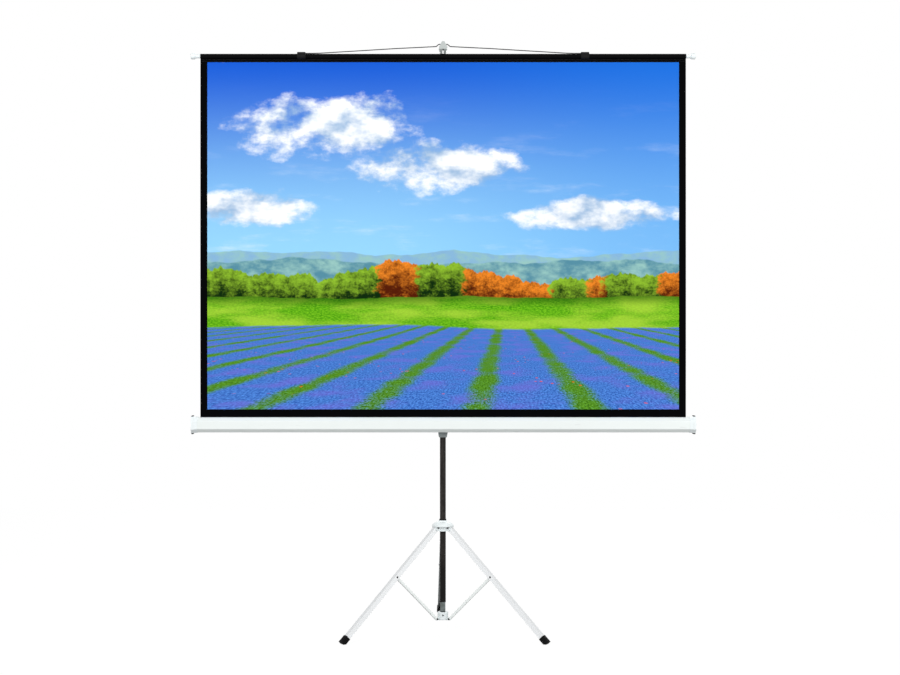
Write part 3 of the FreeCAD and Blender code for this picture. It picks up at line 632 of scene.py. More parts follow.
@dataclass(frozen=True)
class Palette:
    """The colours of the made-up landscape."""

    horizon: Colour = shade(150, 212, 250)
    zenith: Colour = shade(20, 88, 208)
    side_sky: Colour = shade(34, 130, 226)
    high_cloud: Colour = shade(244, 250, 255)
    cloud_shade: Colour = shade(150, 182, 216)
    cloud_light: Colour = shade(253, 254, 255)
    far_hills: Colour = shade(132, 178, 214)
    near_hills: Colour = shade(84, 140, 160)
    hill_light: Colour = shade(150, 196, 190)
    tree_shade: Colour = shade(14, 42, 12)
    tree_light: Colour = shade(142, 188, 48)
    turned_shade: Colour = shade(84, 28, 8)
    turned_light: Colour = shade(242, 138, 40)
    grass_deep: Colour = shade(48, 132, 10)
    grass_light: Colour = shade(132, 208, 36)
    grass_sun: Colour = shade(190, 226, 70)
    grass_shadow: Colour = shade(24, 78, 12)
    petal_shade: Colour = shade(18, 50, 150)
    petal_light: Colour = shade(96, 160, 244)
    petal_violet: Colour = shade(120, 104, 214)
    stalk_shade: Colour = shade(22, 74, 16)
    stalk_light: Colour = shade(112, 180, 48)
    poppy: Colour = shade(236, 88, 26)


@dataclass(frozen=True)
class Picture(Cloth):
    """Screen cloth with a black border that shows a made-up summer landscape.

    Places in the picture are given in its own height: x runs from the left, y from the bottom.
    """

    border: Colour = shade(4, 4, 5)
    border_lift: float = 1.6
    border_polish: float = 0.2
    window: tuple[float, float, float, float] = (0.0, 1.0, 0.0, 1.0)
    width_to_height: float = 4 / 3
    cloud_banks: tuple[tuple[float, float, float, float], ...] = (
        (0.33, 0.82, 0.34, 0.13), (0.66, 0.70, 0.30, 0.10),
        (0.12, 0.58, 0.26, 0.08), (1.10, 0.56, 0.34, 0.07))
    hues: Palette = Palette()
    far_range: tuple[float, float, float, float] = (0.455, 0.13, 1.6, 3.1)
    near_range: tuple[float, float, float, float] = (0.425, 0.10, 2.3, 8.7)
    tree_line: float = 0.395
    meadow_line: float = 0.325
    flower_line: float = 0.24
    row_focus: Span = (0.86, 0.31)
    drift_scale: float = 5.0
    gloss: float = 0.01
    relief: Span = (0.0001, 0.15)

    def ridge(self, book: NodeBook, x: Signal, level: float, swing: float, scale: float,
              seed: float) -> Signal:
        """A wavy line across the picture.

        Args:
            book: The tree that is written.
            x: Place across the picture.
            level: The line's middle height.
            swing: How far it rises and falls.
            scale: How many swells there are in a picture's height.
            seed: Which line of the noise is read.

        Returns:
            The line's height at each place.
        """
        return level + book.noise(book.point(x, seed), scale, detail=5, roughness=0.55).swing(swing)

    def sky(self, book: NodeBook, x: Signal, y: Signal) -> Signal:
        """A clear sky that pales towards the hills, with cumulus banks and thin high cloud.

        Args:
            book: The tree that is written.
            x: Place across the picture.
            y: Place up the picture.

        Returns:
            The colour.
        """
        blue = book.mix(y.smooth(0.40, 1.04), self.hues.horizon, self.hues.zenith)
        blue = book.mix(x.smooth(0.4, 1.4) * 0.4, blue, self.hues.side_sky)
        veil = book.noise(book.point(x * 1.6, y * 7.0), 2.4, 6, 0.6).smooth(0.52, 0.85)
        blue = book.mix(veil * (1 - y.smooth(0.5, 0.95)) * 0.55, blue, self.hues.high_cloud)
        cover: Signal | float = 0.0
        for middle_x, middle_y, reach_x, reach_y in self.cloud_banks:
            off_x = (x - middle_x) / reach_x
            off_y = (y - middle_y) / reach_y
            bank = 1 - off_x * off_x - off_y * off_y
            cover = bank.most(cover)
        billow = book.noise(book.point(x, y * 1.5), 5.2, 9, 0.6)
        lifted = book.noise(book.point(x - 0.02, y * 1.5 + 0.06), 5.2, 4, 0.6)
        body = (billow + 0.42 * cover.least(1.0)).smooth(0.68, 0.86)
        light = (billow - lifted).smooth(-0.16, 0.12)
        cloud = book.mix(light, self.hues.cloud_shade, self.hues.cloud_light)
        return book.mix(body, blue, cloud)

    def hills(self, book: NodeBook, x: Signal, y: Signal, behind: Signal) -> Signal:
        """Two ranges of blue hills in the haze.

        Args:
            book: The tree that is written.
            x: Place across the picture.
            y: Place up the picture.
            behind: The colour behind the hills.

        Returns:
            The colour with the hills.
        """
        colour = behind
        for line, haze in ((self.far_range, self.hues.far_hills), (self.near_range, self.hues.near_hills)):
            crest = self.ridge(book, x, *line)
            relief = book.noise(book.point(x * 2.0, y * 3.0, line[-1]), 9, 6, 0.6)
            slope = book.mix(relief.smooth(0.35, 0.7), haze, self.hues.hill_light)
            colour = book.mix((crest - y).smooth(0.0, 0.004), colour, slope)
        return colour

    def woods(self, book: NodeBook, x: Signal, y: Signal, behind: Signal) -> Signal:
        """A belt of trees with sunlit crowns; some have turned orange.

        Args:
            book: The tree that is written.
            x: Place across the picture.
            y: Place up the picture.
            behind: The colour behind the trees.

        Returns:
            The colour with the trees.
        """
        crest = self.ridge(book, x, self.tree_line, 0.17, 2.4, 1.3)
        crest = crest + self.ridge(book, x, 0.0, 0.07, 15, 5.5) + self.ridge(book, x, 0.0, 0.03, 70, 2.2)
        clumps = book.noise(book.point(x * 1.2, y * 1.5), 30, 4, 0.6)
        leaves = book.noise(book.point(x, y), 170, 3, 0.7)
        height = (y - crest).smooth(-0.11, 0.01)
        light = (0.62 * clumps + 0.38 * leaves + 0.26 * height).smooth(0.48, 0.86)
        green = book.mix(light, self.hues.tree_shade, self.hues.tree_light)
        warm = book.mix(light, self.hues.turned_shade, self.hues.turned_light)
        leafy_x = x + clumps.swing(0.09) + leaves.swing(0.02)
        turned = book.noise(book.point(leafy_x, 12.5), 4.2, 1).smooth(0.6, 0.62)
        trees = book.mix(turned, green, warm)
        return book.mix((crest - y).smooth(0.0, 0.004), behind, trees)

    def meadow(self, book: NodeBook, x: Signal, y: Signal, behind: Signal) -> Signal:
        """Bright grass that rolls towards the viewer.

        Args:
            book: The tree that is written.
            x: Place across the picture.
            y: Place up the picture.
            behind: The colour behind the grass.

        Returns:
            The colour with the grass.
        """
        edge = self.ridge(book, x, self.meadow_line, 0.06, 1.8, 6.1)
        blades = book.noise(book.point(x * 5.0, y * 12.0), 26, 5, 0.72)
        swell = book.noise(book.point(x, y * 5.0), 4.5, 3)
        grass = book.mix(blades.smooth(0.3, 0.72), self.hues.grass_deep, self.hues.grass_light)
        grass = book.mix(swell.smooth(0.38, 0.66) * 0.55, grass, self.hues.grass_sun)
        grass = book.mix((y - edge).smooth(-0.035, 0.0) * 0.7, grass, self.hues.grass_shadow)
        return book.mix((edge - y).smooth(0.0, 0.003), behind, grass)

    def flowers(self, book: NodeBook, x: Signal, y: Signal, behind: Signal) -> Signal:
        """Rows of blue flowers that run together in the distance, with a few poppies.

        Args:
            book: The tree that is written.
            x: Place across the picture.
            y: Place up the picture.
            behind: The colour behind the flowers.

        Returns:
            The colour with the flowers.
        """
        edge = self.ridge(book, x, self.flower_line, 0.05, 1.5, 9.4)
        focus_x, focus_y = self.row_focus
        near = (focus_y - y).most(0.02)
        across = (x - focus_x) / near
        petals = book.noise(book.point(across * 3.0, 1.4 / near), 15, 5, 0.75)
        patches = book.noise(book.point(across, 1.2 / near), 1.6, 3)
        row = (across * 6.0).wave() + petals.swing(2.2) + patches.swing(1.2)
        blossom = book.mix(petals.smooth(0.3, 0.7), self.hues.petal_shade, self.hues.petal_light)
        blossom = book.mix(patches.smooth(0.45, 0.7) * 0.5, blossom, self.hues.petal_violet)
        leaf = book.mix(petals.smooth(0.3, 0.7), self.hues.stalk_shade, self.hues.stalk_light)
        field_colour = book.mix(row.smooth(-0.95, -0.35), leaf, blossom)
        poppy = book.cells(book.point(across * 2.2, 1.6 / near), 3.4).smooth(0.16, 0.1)
        sparse = book.noise(book.point(across, 1 / near), 1.3, 2).smooth(0.5, 0.62)
        field_colour = book.mix(poppy * sparse, field_colour, self.hues.poppy)
        return book.mix((edge - y).smooth(0.0, 0.006), behind, field_colour)

    def write(self, book: NodeBook) -> None:
        """Write the picture, its border and the cloth's weave.

        Args:
            book: The tree that is written.
        """
        u, v, _ = book.split(book.signal("ShaderNodeTexCoord", {}, {}, "UV"))
        left, right, bottom, top = self.window
        x = (u - left) / (right - left) * self.width_to_height
        y = (v - bottom) / (top - bottom)
        inside = u.above(left) * u.below(right) * v.above(bottom) * v.below(top)
        colour = self.sky(book, x, y)
        for layer in (self.hills, self.woods, self.meadow, self.flowers):
            colour = layer(book, x, y, colour)
        drift = book.noise(book.place(), self.drift_scale)
        dark = book.mix(drift, self.border, tuple(self.border_lift * value for value in self.border))
        book.surface({"Base Color": book.mix(inside, dark, colour),
                      "Roughness": self.roughness - self.border_polish * (1 - inside),
                      "Specular IOR Level": self.gloss,
                      "Normal": book.bump(self.weave(book), *self.relief)})


def across_floor(node: str) -> Span:
    """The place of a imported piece's middle, seen from above."""
    low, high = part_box(node)
    return (low.x + high.x) / 2, (low.y + high.y) / 2


FINISHES: dict[str, Finish] = {
    "pole_black": Enamel("pole_enamel", shade(40, 37, 35), 0.45),
    "zinc": Metal("zinc_plate", shade(196, 201, 204), 0.34, shade(206, 208, 204)),
    # The bare tube carries a painted shadow just above the lower hub.
    "bare_tube": StandingTube("bare_tube_steel", shade(110, 117, 116), 0.5, shade(94, 100, 98), Run.ALONG_Z,
                              seat=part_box("lower_hub")[1].z),
    "rivet_dark": Metal("blackened_rivets", shade(44, 46, 46), 0.42, shade(34, 36, 36)),
    "hook_grey": Moulding("hook_moulding", shade(184, 190, 188), 0.5),
    # On the legs and braces, dust_share=0.28 greys the faces that look up, mostly as painted shade, with
    # some dust.
    "leg_white": Coating("leg_paint", shade(248, 253, 251), 0.36, Run.ALL_WAYS, scuff_share=0.2,
                         dust_share=0.28),
    # The leg channel finish greys the insides of the legs' channels as painted shade.
    "leg_channel": ChannelPaint("channel_paint", shade(250, 252, 254), 0.36, Run.ALL_WAYS, scuff_share=0.2,
                                dust_share=0.28, pole=across_floor("outer_tube")),
    "moulded_white": Moulding("white_moulding", shade(238, 245, 246), 0.44),
    "moulded_grey": Moulding("grey_moulding", shade(150, 158, 158), 0.5),
    "moulded_black": Moulding("black_moulding", shade(13, 13, 14), 0.46, gloss=0.12),
    "rubber_black": Rubber("black_rubber", shade(9, 9, 10), 0.74),
    "wire_dark": Metal("dark_wire", shade(46, 46, 48), 0.42, shade(34, 33, 32), Run.ALONG_X),
    "bar_alloy": Metal("drawn_alloy", shade(212, 214, 216), 0.32, shade(200, 203, 206), Run.ALONG_X),
    "roller_plastic": Moulding("roller_moulding", shade(120, 121, 124), 0.5),
    "border_cloth": Cloth("border_cloth_black", shade(3, 3, 4), 0.7),
    "case_paint": Coating("case_enamel", shade(238, 244, 242), 0.3, Run.ALONG_X),
    "back_cloth": Cloth("backing_cloth", shade(46, 46, 49), 0.82),
    "thread": Thread("hem_thread", shade(30, 30, 32), 0.7),
}


class Blank(Enum):
    """The primitives that new pieces start from."""

    CUBE = "primitive_cube_add"
    CYLINDER = "primitive_cylinder_add"
    GRID = "primitive_grid_add"
    PLANE = "primitive_plane_add"


class Bench:
    """One mesh on the bench, which starts as a primitive and is shaped with edit-mode operators."""

    def __init__(self, name: str, blank: Blank, scale: Triple = (1, 1, 1), **settings: Any) -> None:
        """Add the primitive and put its place into its mesh.

        Args:
            name: The piece's name.
            blank: The primitive.
            scale: How far it is stretched on its own axes.
            settings: The operator's sizes and place.
        """
        bpy.ops.object.select_all(action="DESELECT")
        getattr(bpy.ops.mesh, blank.value)(**settings)
        self.object: bpy.types.Object = bpy.context.active_object
        self.object.name = name
        self.object.data.name = name
        self.object.scale = scale
        bpy.ops.object.transform_apply(location=True, rotation=True, scale=True)

    @contextmanager
    def editing(self) -> Iterator[None]:
        """Edit mode on this piece alone, for the length of a with block."""
        bpy.ops.object.select_all(action="DESELECT")
        self.object.select_set(True)
        bpy.context.view_layer.objects.active = self.object
        bpy.ops.object.mode_set(mode="EDIT")
        bpy.ops.mesh.select_mode(type="VERT")
        yield
        bpy.ops.object.mode_set(mode="OBJECT")

    def pick(self, mode: str, wanted: Callable[[Vector, Vector], bool]) -> None:
        """Select points, edges or faces by place and direction.

        Args:
            mode: VERT, EDGE or FACE.
            wanted: Says yes for the middle and the normal, or an edge's direction, of what is selected.
        """
        bpy.ops.mesh.select_mode(type=mode)
        bpy.ops.mesh.select_all(action="DESELECT")
        mesh = bmesh.from_edit_mesh(self.object.data)
        if mode == "FACE":
            rows = [(face, face.calc_center_median(), face.normal) for face in mesh.faces]
        elif mode == "EDGE":
            rows = [(edge, (edge.verts[0].co + edge.verts[1].co) / 2,
                     (edge.verts[1].co - edge.verts[0].co).normalized()) for edge in mesh.edges]
        else:
            rows = [(point, point.co, point.normal) for point in mesh.verts]
        for element, middle, direction in rows:
            element.select_set(wanted(middle, direction))
        mesh.select_flush_mode()
        bmesh.update_edit_mesh(self.object.data)

    def cut(self, place: Vector, normal: Vector, **settings: Any) -> None:
        """Bisect the whole mesh with a plane.

        Args:
            place: A point of the plane.
            normal: The plane's normal.
            settings: What the operator clears or fills.
        """
        bpy.ops.mesh.select_all(action="SELECT")
        bpy.ops.mesh.bisect(plane_co=place, plane_no=normal, **settings)

    def modify(self, kind: str, **settings: Any) -> None:
        """Add a modifier and apply it.

        Args:
            kind: The modifier's type.
            settings: Its properties.
        """
        modifier = self.object.modifiers.new(kind.title(), kind)
        for name, value in settings.items():
            setattr(modifier, name, value)
        bpy.context.view_layer.objects.active = self.object
        bpy.ops.object.modifier_apply(modifier=modifier.name)

    def smooth(self, angle: float = 35.0) -> None:
        """Shade the piece smooth apart from its sharp edges.

        Args:
            angle: Edges sharper than this many degrees stay sharp.
        """
        bpy.ops.object.select_all(action="DESELECT")
        self.object.select_set(True)
        bpy.context.view_layer.objects.active = self.object
        bpy.ops.object.shade_smooth_by_angle(angle=math.radians(angle))

    def copy(self, name: str, matrix: Matrix) -> bpy.types.Object:
        """Copy the piece, with its own mesh, to another place.

        Args:
            name: The copy's name.
            matrix: From this piece's place to the copy's.

        Returns:
            The copy.
        """
        made = self.object.copy()
        made.data = self.object.data.copy()
        made.name = name
        made.data.name = name
        made.data.transform(matrix)
        bpy.context.scene.collection.objects.link(made)
        return made

    def discard(self) -> None:
        """Take the pattern piece off the bench once its copies are made."""
        bpy.data.objects.remove(self.object)


@dataclass
class Assembly:
    """A sub-assembly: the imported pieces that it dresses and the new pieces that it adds."""

    nodes: tuple[str, ...] = ()

    def dress(self) -> None:
        """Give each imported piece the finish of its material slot."""
        for node in self.nodes:
            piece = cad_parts[node]
            for slot in piece.material_slots:
                slot.material = self.finish_of(node, slot.material.name).material()
            LOG.info("%s: dressed", node)

    def finish_of(self, node: str, slot_name: str) -> Finish:
        """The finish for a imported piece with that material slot."""
        return FINISHES[slot_name]

    def paint(self, piece: bpy.types.Object, *finishes: Finish) -> None:
        """Append the finishes as material slots of a new piece."""
        for finish in finishes:
            piece.data.materials.append(finish.material())

    def add(self, piece: bpy.types.Object, body: str, slot: str, *finishes: Finish) -> bpy.types.Object:
        """Let a new piece ride on a body, and dress it.

        Args:
            piece: The piece, in place.
            body: The body that carries it.
            slot: The name of a material slot; not used.
            finishes: The finishes of its material slots, in order, where it isn't painted yet.

        Returns:
            The piece.
        """
        self.paint(piece, *finishes)
        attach(piece, body)
        LOG.info("%s: rides on %s", piece.name, body)
        return piece


@dataclass
class Fastener:
    """A pan-head screw with a cross recess, made lying at the origin with its head towards +Z."""

    radius: float = 0.0034
    height: float = 0.0022
    crown: float = 0.0013
    crown_steps: int = 4
    sides: int = 24
    blade: float = 0.0009
    blade_stretch: float = 2.2
    arm: float = 0.0013

    def build(self) -> Bench:
        """Model the head.

        Returns:
            The pattern piece.
        """
        head = Bench("screw_pattern", Blank.CYLINDER, vertices=self.sides, radius=self.radius,
                     depth=self.height, location=(0, 0, self.height / 2))
        with head.editing():
            head.pick("EDGE", lambda middle, way: middle.z > NEARLY * self.height
                      and middle.xy.length > self.radius / 2)
            bpy.ops.mesh.bevel(offset=self.crown, segments=self.crown_steps)
        cross = Bench("cross_pattern", Blank.CUBE, size=self.blade, location=(0, 0, self.height),
                      scale=(1, 1, self.blade_stretch))
        with cross.editing():
            cross.pick("FACE", lambda middle, normal: abs(normal.z) < SIDEWAYS)
            bpy.ops.mesh.extrude_faces_move(TRANSFORM_OT_shrink_fatten={"value": self.arm})
        head.modify("BOOLEAN", operation="DIFFERENCE", object=cross.object, solver="EXACT")
        cross.discard()
        head.smooth()
        return head


@dataclass
class Pole(Assembly):
    """The two tubes of the pole with the clamp and the hook."""

    nodes: tuple[str, ...] = ("outer_tube", "base_spigot", "lock_collar", "lock_knob", "lock_stud",
                              "inner_tube", "guide_plug", "hook")
    own_finishes: dict[str, str] = field(default_factory=lambda: {"base_spigot": "bare_tube",
                                                                  "hook": "hook_grey"})

    def finish_of(self, node: str, slot_name: str) -> Finish:
        """Bare steel on the spigot, a lighter grey on the hook, and the slot's finish elsewhere."""
        return FINISHES[self.own_finishes.get(node, slot_name)]

    def build(self) -> None:
        """Dress the pole."""
        self.dress()


@dataclass
class Tripod(Assembly):
    """The folding stand: hubs, legs, braces and ribbed rubber boots."""

    nodes: tuple[str, ...] = ("upper_hub", "hub_bush", "lower_hub", "leg_pins", "brace_pins",
                              "leg_left", "leg_right", "leg_rear",
                              "leg_rivet_left", "leg_rivet_right", "leg_rivet_rear",
                              "brace_left", "brace_right", "brace_rear")
    azimuths: dict[str, float] = field(default_factory=lambda: {"left": 210.0, "right": 330.0,
                                                                "rear": 90.0})
    legs: tuple[str, ...] = ("leg_left", "leg_right", "leg_rear")
    spread: float = math.radians(45.5)
    pivot_circle: float = 0.032
    upper_pivot: float = 0.457313
    leg_side: float = 0.020
    boot_side: float = 0.026
    boot_length: float = 0.036
    boot_round: float = 0.004
    boot_round_steps: int = 4
    boot_toe: float = 0.0024
    boot_play: float = 0.0005
    boot_mouth: float = 0.002
    boot_rim: float = 0.0008
    boot_rim_steps: int = 2
    rim_reach: float = 0.4
    boot_grooves: tuple[float, ...] = (0.015, 0.021, 0.027)
    groove_width: float = 0.0022
    groove_depth: float = 0.0009
    hub_radius: float = 0.0228
    hub_screw_height: float = 0.0787

    def finish_of(self, node: str, slot_name: str) -> Finish:
        """The channel paint on the legs, and the slot's finish elsewhere."""
        return FINISHES["leg_channel" if node in self.legs else slot_name]

    def boot(self) -> Bench:
        """Model one boot, hung below a leg that spreads towards +X.

        Returns:
            The pattern piece, with its sole cut level with the floor.
        """
        end = self.upper_pivot / math.cos(self.spread) - self.boot_toe
        middle = self.boot_length / 2
        boot = Bench("boot_pattern", Blank.CUBE, size=1, location=(0, 0, middle),
                     scale=(self.boot_side, self.boot_side, self.boot_length))
        with boot.editing():
            boot.pick("EDGE", lambda place, way: abs(way.z) > NEARLY)
            bpy.ops.mesh.bevel(offset=self.boot_round, segments=self.boot_round_steps)
            for groove in self.boot_grooves:
                for edge in (groove - self.groove_width / 2, groove + self.groove_width / 2):
                    boot.cut((0, 0, edge), (0, 0, 1))
                boot.pick("FACE", lambda place, normal: abs(place.z - groove) < self.groove_width / 2
                          and abs(normal.z) < SIDEWAYS)
                bpy.ops.mesh.extrude_region_shrink_fatten(
                    TRANSFORM_OT_shrink_fatten={"value": -self.groove_depth})
            boot.pick("FACE", lambda place, normal: normal.z > NEARLY
                      and place.z > self.boot_length * WHOLLY)
            bpy.ops.mesh.inset(thickness=(self.boot_side - self.leg_side) / 2 - self.boot_play)
            bpy.ops.mesh.extrude_region_move(TRANSFORM_OT_translate={"value": (0, 0, -self.boot_mouth)})
            boot.pick("EDGE", lambda place, way: place.z > self.boot_length * WHOLLY
                      and max(abs(place.x), abs(place.y)) > self.boot_side * self.rim_reach)
            bpy.ops.mesh.bevel(offset=self.boot_rim, segments=self.boot_rim_steps)
        lean = Matrix.Translation((self.pivot_circle, 0, self.upper_pivot))
        lean = lean @ Matrix.Rotation(-self.spread, 4, "Y") @ Matrix.Translation((0, 0, -end))
        boot.object.data.transform(lean)
        with boot.editing():
            boot.cut((0, 0, 0), (0, 0, 1), clear_inner=True, use_fill=True)
            bpy.ops.mesh.select_all(action="SELECT")
            bpy.ops.mesh.normals_make_consistent(inside=False)
        boot.smooth()
        return boot

    def build(self) -> None:
        """Dress the stand, and add its boots and the screw of the lower hub."""
        self.dress()
        axis_x, axis_y = across_floor("outer_tube")
        pattern = self.boot()
        centre = Matrix.Translation((axis_x, axis_y, 0))
        for side, azimuth in self.azimuths.items():
            turn = centre @ Matrix.Rotation(math.radians(azimuth), 4, "Z")
            boot = self.add(pattern.copy(f"boot_{side}", turn), f"{side}_leg", "rubber_black",
                            FINISHES["rubber_black"])
            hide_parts(f"foot_{side}")
        pattern.discard()
        screw = Fastener().build()
        seat = Matrix.Translation((axis_x, axis_y - self.hub_radius, self.hub_screw_height))
        seat = seat @ Matrix.Rotation(math.pi / 2, 4, "X")
        self.add(screw.copy("lower_hub_screw", seat), "stand", "rivet_dark", FINISHES["rivet_dark"])
        screw.discard()


@dataclass
class RollerCase(Assembly):
    """The case with its caps, the carriage that holds it, and the roller with the wound cloth."""

    nodes: tuple[str, ...] = ("carriage", "carriage_knob", "carriage_stud",
                              "pivot_plate", "pivot_bolt", "pivot_nut",
                              "case_shell", "cap_left", "cap_right", "cap_pads_left", "cap_pads_right",
                              "roller_tube", "roller_plug_left", "roller_plug_right")
    cloth: float = 0.0006
    turns: int = 10
    turn_step: float = 0.0002
    roll_sides: int = 64
    screw_place: float = 0.019
    screw_depth: float = 0.0026
    screw_turn: float = 0.7

    def finish_of(self, node: str, slot_name: str) -> Finish:
        """The case's own paint on the shell, and the slot's finish elsewhere."""
        return FINISHES["case_paint" if node == "case_shell" else slot_name]

    def screws(self) -> None:
        """Put four screws into the pockets of each end cap."""
        low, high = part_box("case_shell")
        middle = (low + high) / 2
        pattern = Fastener().build()
        ends = {"left": (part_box("cap_left")[0].x + self.screw_depth, -math.pi / 2),
                "right": (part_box("cap_right")[1].x - self.screw_depth, math.pi / 2)}
        for side, (seat, turn) in ends.items():
            for number in range(4):
                across = self.screw_place * (1 if number % 2 else -1)
                up = self.screw_place * (1 if number < 2 else -1)
                spot = Matrix.Translation((seat, middle.y + across, middle.z + up))
                spot = spot @ Matrix.Rotation(turn, 4, "Y")
                spot = spot @ Matrix.Rotation(self.screw_turn * number, 4, "Z")
                screw = pattern.copy(f"cap_screw_{side}_{number + 1}", spot)
                self.add(screw, "case", "zinc", FINISHES["zinc"])
        pattern.discard()

    def roll(self) -> None:
        """Wind the cloth on the roller."""
        low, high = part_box("wound_fabric")
        middle = (low + high) / 2
        radius = (high.z - low.z) / 2
        roll = Bench("cloth_roll", Blank.CYLINDER, vertices=self.roll_sides, radius=radius,
                     depth=high.x - low.x, location=middle, rotation=(0, math.pi / 2, 0))
        with roll.editing():
            roll.pick("FACE", lambda place, normal: abs(normal.x) > NEARLY)
            for turn in range(self.turns):
                depth = self.turn_step if turn % 2 else -self.turn_step
                bpy.ops.mesh.inset(thickness=self.cloth, depth=depth)
            bpy.ops.mesh.delete(type="FACE")
            bpy.ops.mesh.select_mode(type="EDGE")
            bpy.ops.mesh.select_non_manifold(extend=False)
            bpy.ops.mesh.bridge_edge_loops()
            bpy.ops.mesh.select_all(action="SELECT")
            bpy.ops.mesh.normals_make_consistent(inside=False)
        roll.smooth()
        self.add(roll.object, "roller", "screen_cloth", FINISHES["back_cloth"])
        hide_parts("wound_fabric")

    def build(self) -> None:
        """Dress the case, fasten its caps and wind the cloth on the roller."""
        self.dress()
        self.screws()
        self.roll()


@dataclass
class Screen(Assembly):
    """The hanging cloth with its hem on the top bar, and the bail that carries the bar."""

    nodes: tuple[str, ...] = ("top_bar", "bar_end_left", "bar_end_right",
                              "bail", "bail_clip_left", "bail_clip_right")
    picture_width: float = 2.032
    picture_bottom: float = 0.9705
    picture_top: float = 2.466
    cloth: float = 0.0006
    columns: int = 120
    rows: int = 90
    ripple: float = 0.0012
    swell_waves: tuple[float, float, float, float] = (9.0, 2.0, 4.0, 1.3)
    edge_curl: float = 0.0020
    curl_power: int = 12
    travel: float = 0.9
    hem_tail: float = 0.016
    hem_start: float = 0.01
    hem_steps: int = 40
    hem_wrap: float = math.radians(352)
    merge_reach: float = 0.00001
    stitch_length: float = 0.0032
    stitch_pitch: float = 0.0042
    stitch_radius: float = 0.0004
    stitch_sides: int = 6
    stitch_smooth: float = 60.0
    stitch_rows: tuple[float, ...] = (0.004, 0.011)

    def sheet(self) -> bpy.types.Object:
        """Model the cloth between the case and the bar.

        Returns:
            The sheet, with its front, back and edges as material slots.
        """
        low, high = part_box("screen_fabric")
        width = high.x - low.x
        height = high.z - low.z
        middle = (low + high) / 2
        cloth = Bench("screen_sheet", Blank.GRID, x_subdivisions=self.columns, y_subdivisions=self.rows,
                      size=1, location=middle, rotation=(math.pi / 2, 0, 0), scale=(width, height, 1))
        quick, climb, slow, phase = self.swell_waves
        for point in cloth.object.data.vertices:
            across = 2 * (point.co.x - middle.x) / width
            up = (point.co.z - low.z) / height
            hang = math.sin(math.pi * up)
            swell = math.sin(quick * across + climb * up) * math.cos(slow * across - phase)
            point.co.y += hang * (self.ripple * swell - self.edge_curl * abs(across) ** self.curl_power)
        side = (width - self.picture_width) / 2 / width
        window = (side, 1 - side,
                  (self.picture_bottom - low.z) / height, (self.picture_top - low.z) / height)
        aspect = self.picture_width / (self.picture_top - self.picture_bottom)
        front = Picture("screen_front", shade(236, 238, 238), 0.82, window=window,
                        width_to_height=aspect)
        self.paint(cloth.object, front, FINISHES["back_cloth"], FINISHES["border_cloth"])
        cloth.modify("SOLIDIFY", thickness=self.cloth, offset=0, material_offset=1,
                     material_offset_rim=2)
        cloth.smooth()
        self.add(cloth.object, "case", "screen_cloth")
        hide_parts("screen_fabric")
        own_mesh(cloth.object)
        return cloth.object

    def hem(self) -> bpy.types.Object:
        """Model the sleeve round the bar with its sewn tail behind the sheet.

        Returns:
            The hem.
        """
        low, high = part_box("fabric_hem")
        middle = (low + high) / 2
        radius = (high.z - low.z - self.cloth) / 2
        hem = Bench("hem_sleeve", Blank.PLANE, size=self.hem_start,
                    location=(low.x, middle.y, middle.z - radius))
        with hem.editing():
            bpy.ops.mesh.select_all(action="SELECT")
            bpy.ops.mesh.merge(type="CENTER")
            bpy.ops.mesh.spin(steps=self.hem_steps, angle=self.hem_wrap,
                              center=(low.x, middle.y, middle.z), axis=(1, 0, 0))
            bpy.ops.mesh.extrude_region_move(TRANSFORM_OT_translate={"value": (0, 0, -self.hem_tail)})
            bpy.ops.mesh.select_all(action="SELECT")
            bpy.ops.mesh.extrude_region_move(TRANSFORM_OT_translate={"value": (high.x - low.x, 0, 0)})
            bpy.ops.mesh.select_all(action="SELECT")
            bpy.ops.mesh.remove_doubles(threshold=self.merge_reach)
            bpy.ops.mesh.normals_make_consistent(inside=False)
        hem.modify("SOLIDIFY", thickness=self.cloth, offset=0)
        hem.smooth()
        self.add(hem.object, "extension", "border_cloth", FINISHES["border_cloth"])
        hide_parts("fabric_hem")
        return hem.object

    def stitches(self) -> list[bpy.types.Object]:
        """Sew the hem's tail to the sheet with rows of stitches.

        Returns:
            The rows.
        """
        low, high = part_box("screen_fabric")
        made = []
        count = int((high.x - low.x - self.stitch_pitch) / self.stitch_pitch)
        for row, drop in enumerate(self.stitch_rows):
            start = (low.x + self.stitch_pitch, low.y - self.stitch_radius / 4, high.z - drop)
            stitch = Bench(f"hem_stitches_{row + 1}", Blank.CYLINDER, vertices=self.stitch_sides,
                           radius=self.stitch_radius, depth=self.stitch_length, location=start,
                           rotation=(0, math.pi / 2, 0))
            with stitch.editing():
                stitch.pick("EDGE", lambda place, way: abs(place.x - start[0])
                            > NEARLY * self.stitch_length / 2)
                bpy.ops.mesh.bevel(offset=self.stitch_radius / 2, segments=1)
            stitch.modify("ARRAY", count=count, use_relative_offset=False, use_constant_offset=True,
                          constant_offset_displace=(self.stitch_pitch, 0, 0))
            stitch.smooth(self.stitch_smooth)
            made.append(self.add(stitch.object, "extension", "border_cloth", FINISHES["thread"]))
        return made

    def build(self) -> None:
        """Dress the bar and the bail, and hang the cloth."""
        self.dress()
        sheet = self.sheet()
        pieces = [self.hem(), *self.stitches()]


@dataclass(frozen=True)
class Softbox:
    """A square lamp: its place, its side in metres and its power in watts."""

    name: str
    place: Triple
    size: float
    power: float


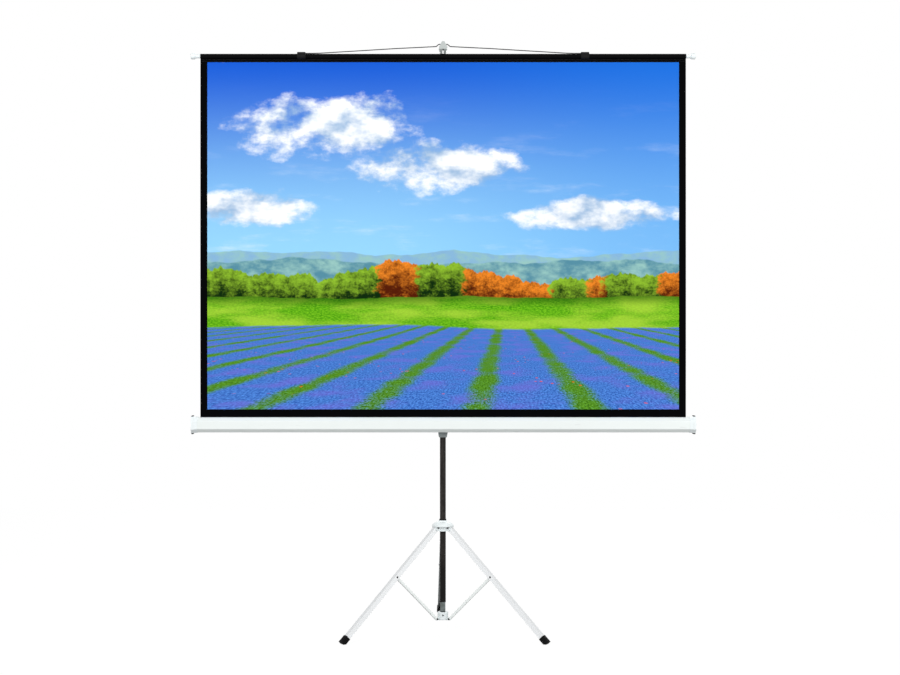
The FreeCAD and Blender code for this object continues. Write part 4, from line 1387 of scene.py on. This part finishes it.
@dataclass
class Studio:
    """The camera, a pale floor and soft light round the object."""

    eye: Triple = (-0.19, -6.521, 1.265)
    lens: float = 59.0
    shift: Span = (0.0566, 0.0039)
    floor_reach: float = 9.0
    floor_glow: float = 0.8
    floor_level: float = 1.2
    floor_paper: float = 0.25
    ambient: float = 0.48
    softboxes: tuple[Softbox, ...] = (Softbox("key_softbox", (-3.2, -5.2, 3.2), 3.2, 192.0),
                                      Softbox("fill_softbox", (3.8, -4.6, 2.4), 3.0, 150.0),
                                      Softbox("back_softbox", (0.6, 4.8, 4.2), 3.0, 140.0))

    def seen(self, book: NodeBook) -> Signal:
        """Tell rays that show the backdrop itself from rays that light the object.

        Args:
            book: The tree that is written.

        Returns:
            One for the first, nought for the second.
        """
        path = book.node("ShaderNodeLightPath", {}, {})
        rays = [Signal(book, path.outputs[name]) for name in
                ("Is Camera Ray", "Is Glossy Ray", "Is Transmission Ray")]
        return (rays[0] + rays[1] + rays[2]).least(1.0)

    def camera(self) -> None:
        """Stand the camera where the photograph was taken from."""
        lens = bpy.data.cameras.new("camera")
        lens.lens = self.lens
        lens.shift_x, lens.shift_y = self.shift
        view = bpy.data.objects.new("camera", lens)
        view.location = self.eye
        view.rotation_euler = (math.pi / 2, 0, 0)
        bpy.context.scene.collection.objects.link(view)
        bpy.context.scene.camera = view

    def floor(self) -> None:
        """Lay a pale floor that looks white and keeps the object's shadow."""
        slab = Bench("floor", Blank.PLANE, size=self.floor_reach)
        slab.object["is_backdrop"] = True
        material = bpy.data.materials.new("floor_paper")
        material.use_nodes = True
        book = NodeBook(material.node_tree)
        paper_grey = (self.floor_paper, self.floor_paper, self.floor_paper)
        book.surface({"Base Color": paper_grey, "Roughness": 1.0, "Specular IOR Level": 0.0})
        paper = Signal(book, book.tree.nodes["Principled BSDF"].outputs[0])
        glow = book.signal("ShaderNodeEmission", {}, {"Color": WHITE, "Strength": self.floor_level})
        share = self.seen(book) * self.floor_glow
        white = book.signal("ShaderNodeMixShader", {}, {0: share, 1: paper, 2: glow})
        book.feed(book.tree.nodes["Material Output"], {"Surface": white})
        slab.object.data.materials.append(material)

    def world(self) -> None:
        """Make the surroundings white to look at, and softer as a light."""
        world = bpy.data.worlds.new("studio")
        world.use_nodes = True
        book = NodeBook(world.node_tree)
        level = self.ambient + (1 - self.ambient) * self.seen(book)
        book.feed(book.tree.nodes["Background"], {"Color": WHITE, "Strength": level})
        bpy.context.scene.world = world

    def lamps(self) -> None:
        """Hang the softboxes, each turned towards the middle of the screen."""
        low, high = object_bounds()
        middle = (low + high) / 2
        for box in self.softboxes:
            light = bpy.data.lights.new(box.name, "AREA")
            light.size = box.size
            light.energy = box.power
            lamp = bpy.data.objects.new(box.name, light)
            lamp.location = box.place
            lamp.rotation_euler = (middle - Vector(box.place)).to_track_quat("-Z", "Y").to_euler()
            bpy.context.scene.collection.objects.link(lamp)

    def build(self) -> None:
        """Set up the studio."""
        self.camera()
        self.floor()
        self.world()
        self.lamps()
        bpy.context.scene.view_settings.view_transform = "Standard"
        LOG.info("studio: camera, floor and lamps")


def main() -> None:
    """Build the studio and dress each sub-assembly."""
    logging.basicConfig(level=logging.INFO, format="%(message)s")
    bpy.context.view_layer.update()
    Studio().build()
    for assembly in (Pole(), Tripod(), RollerCase(), Screen()):
        assembly.build()


if __name__ == "__main__":
    main()
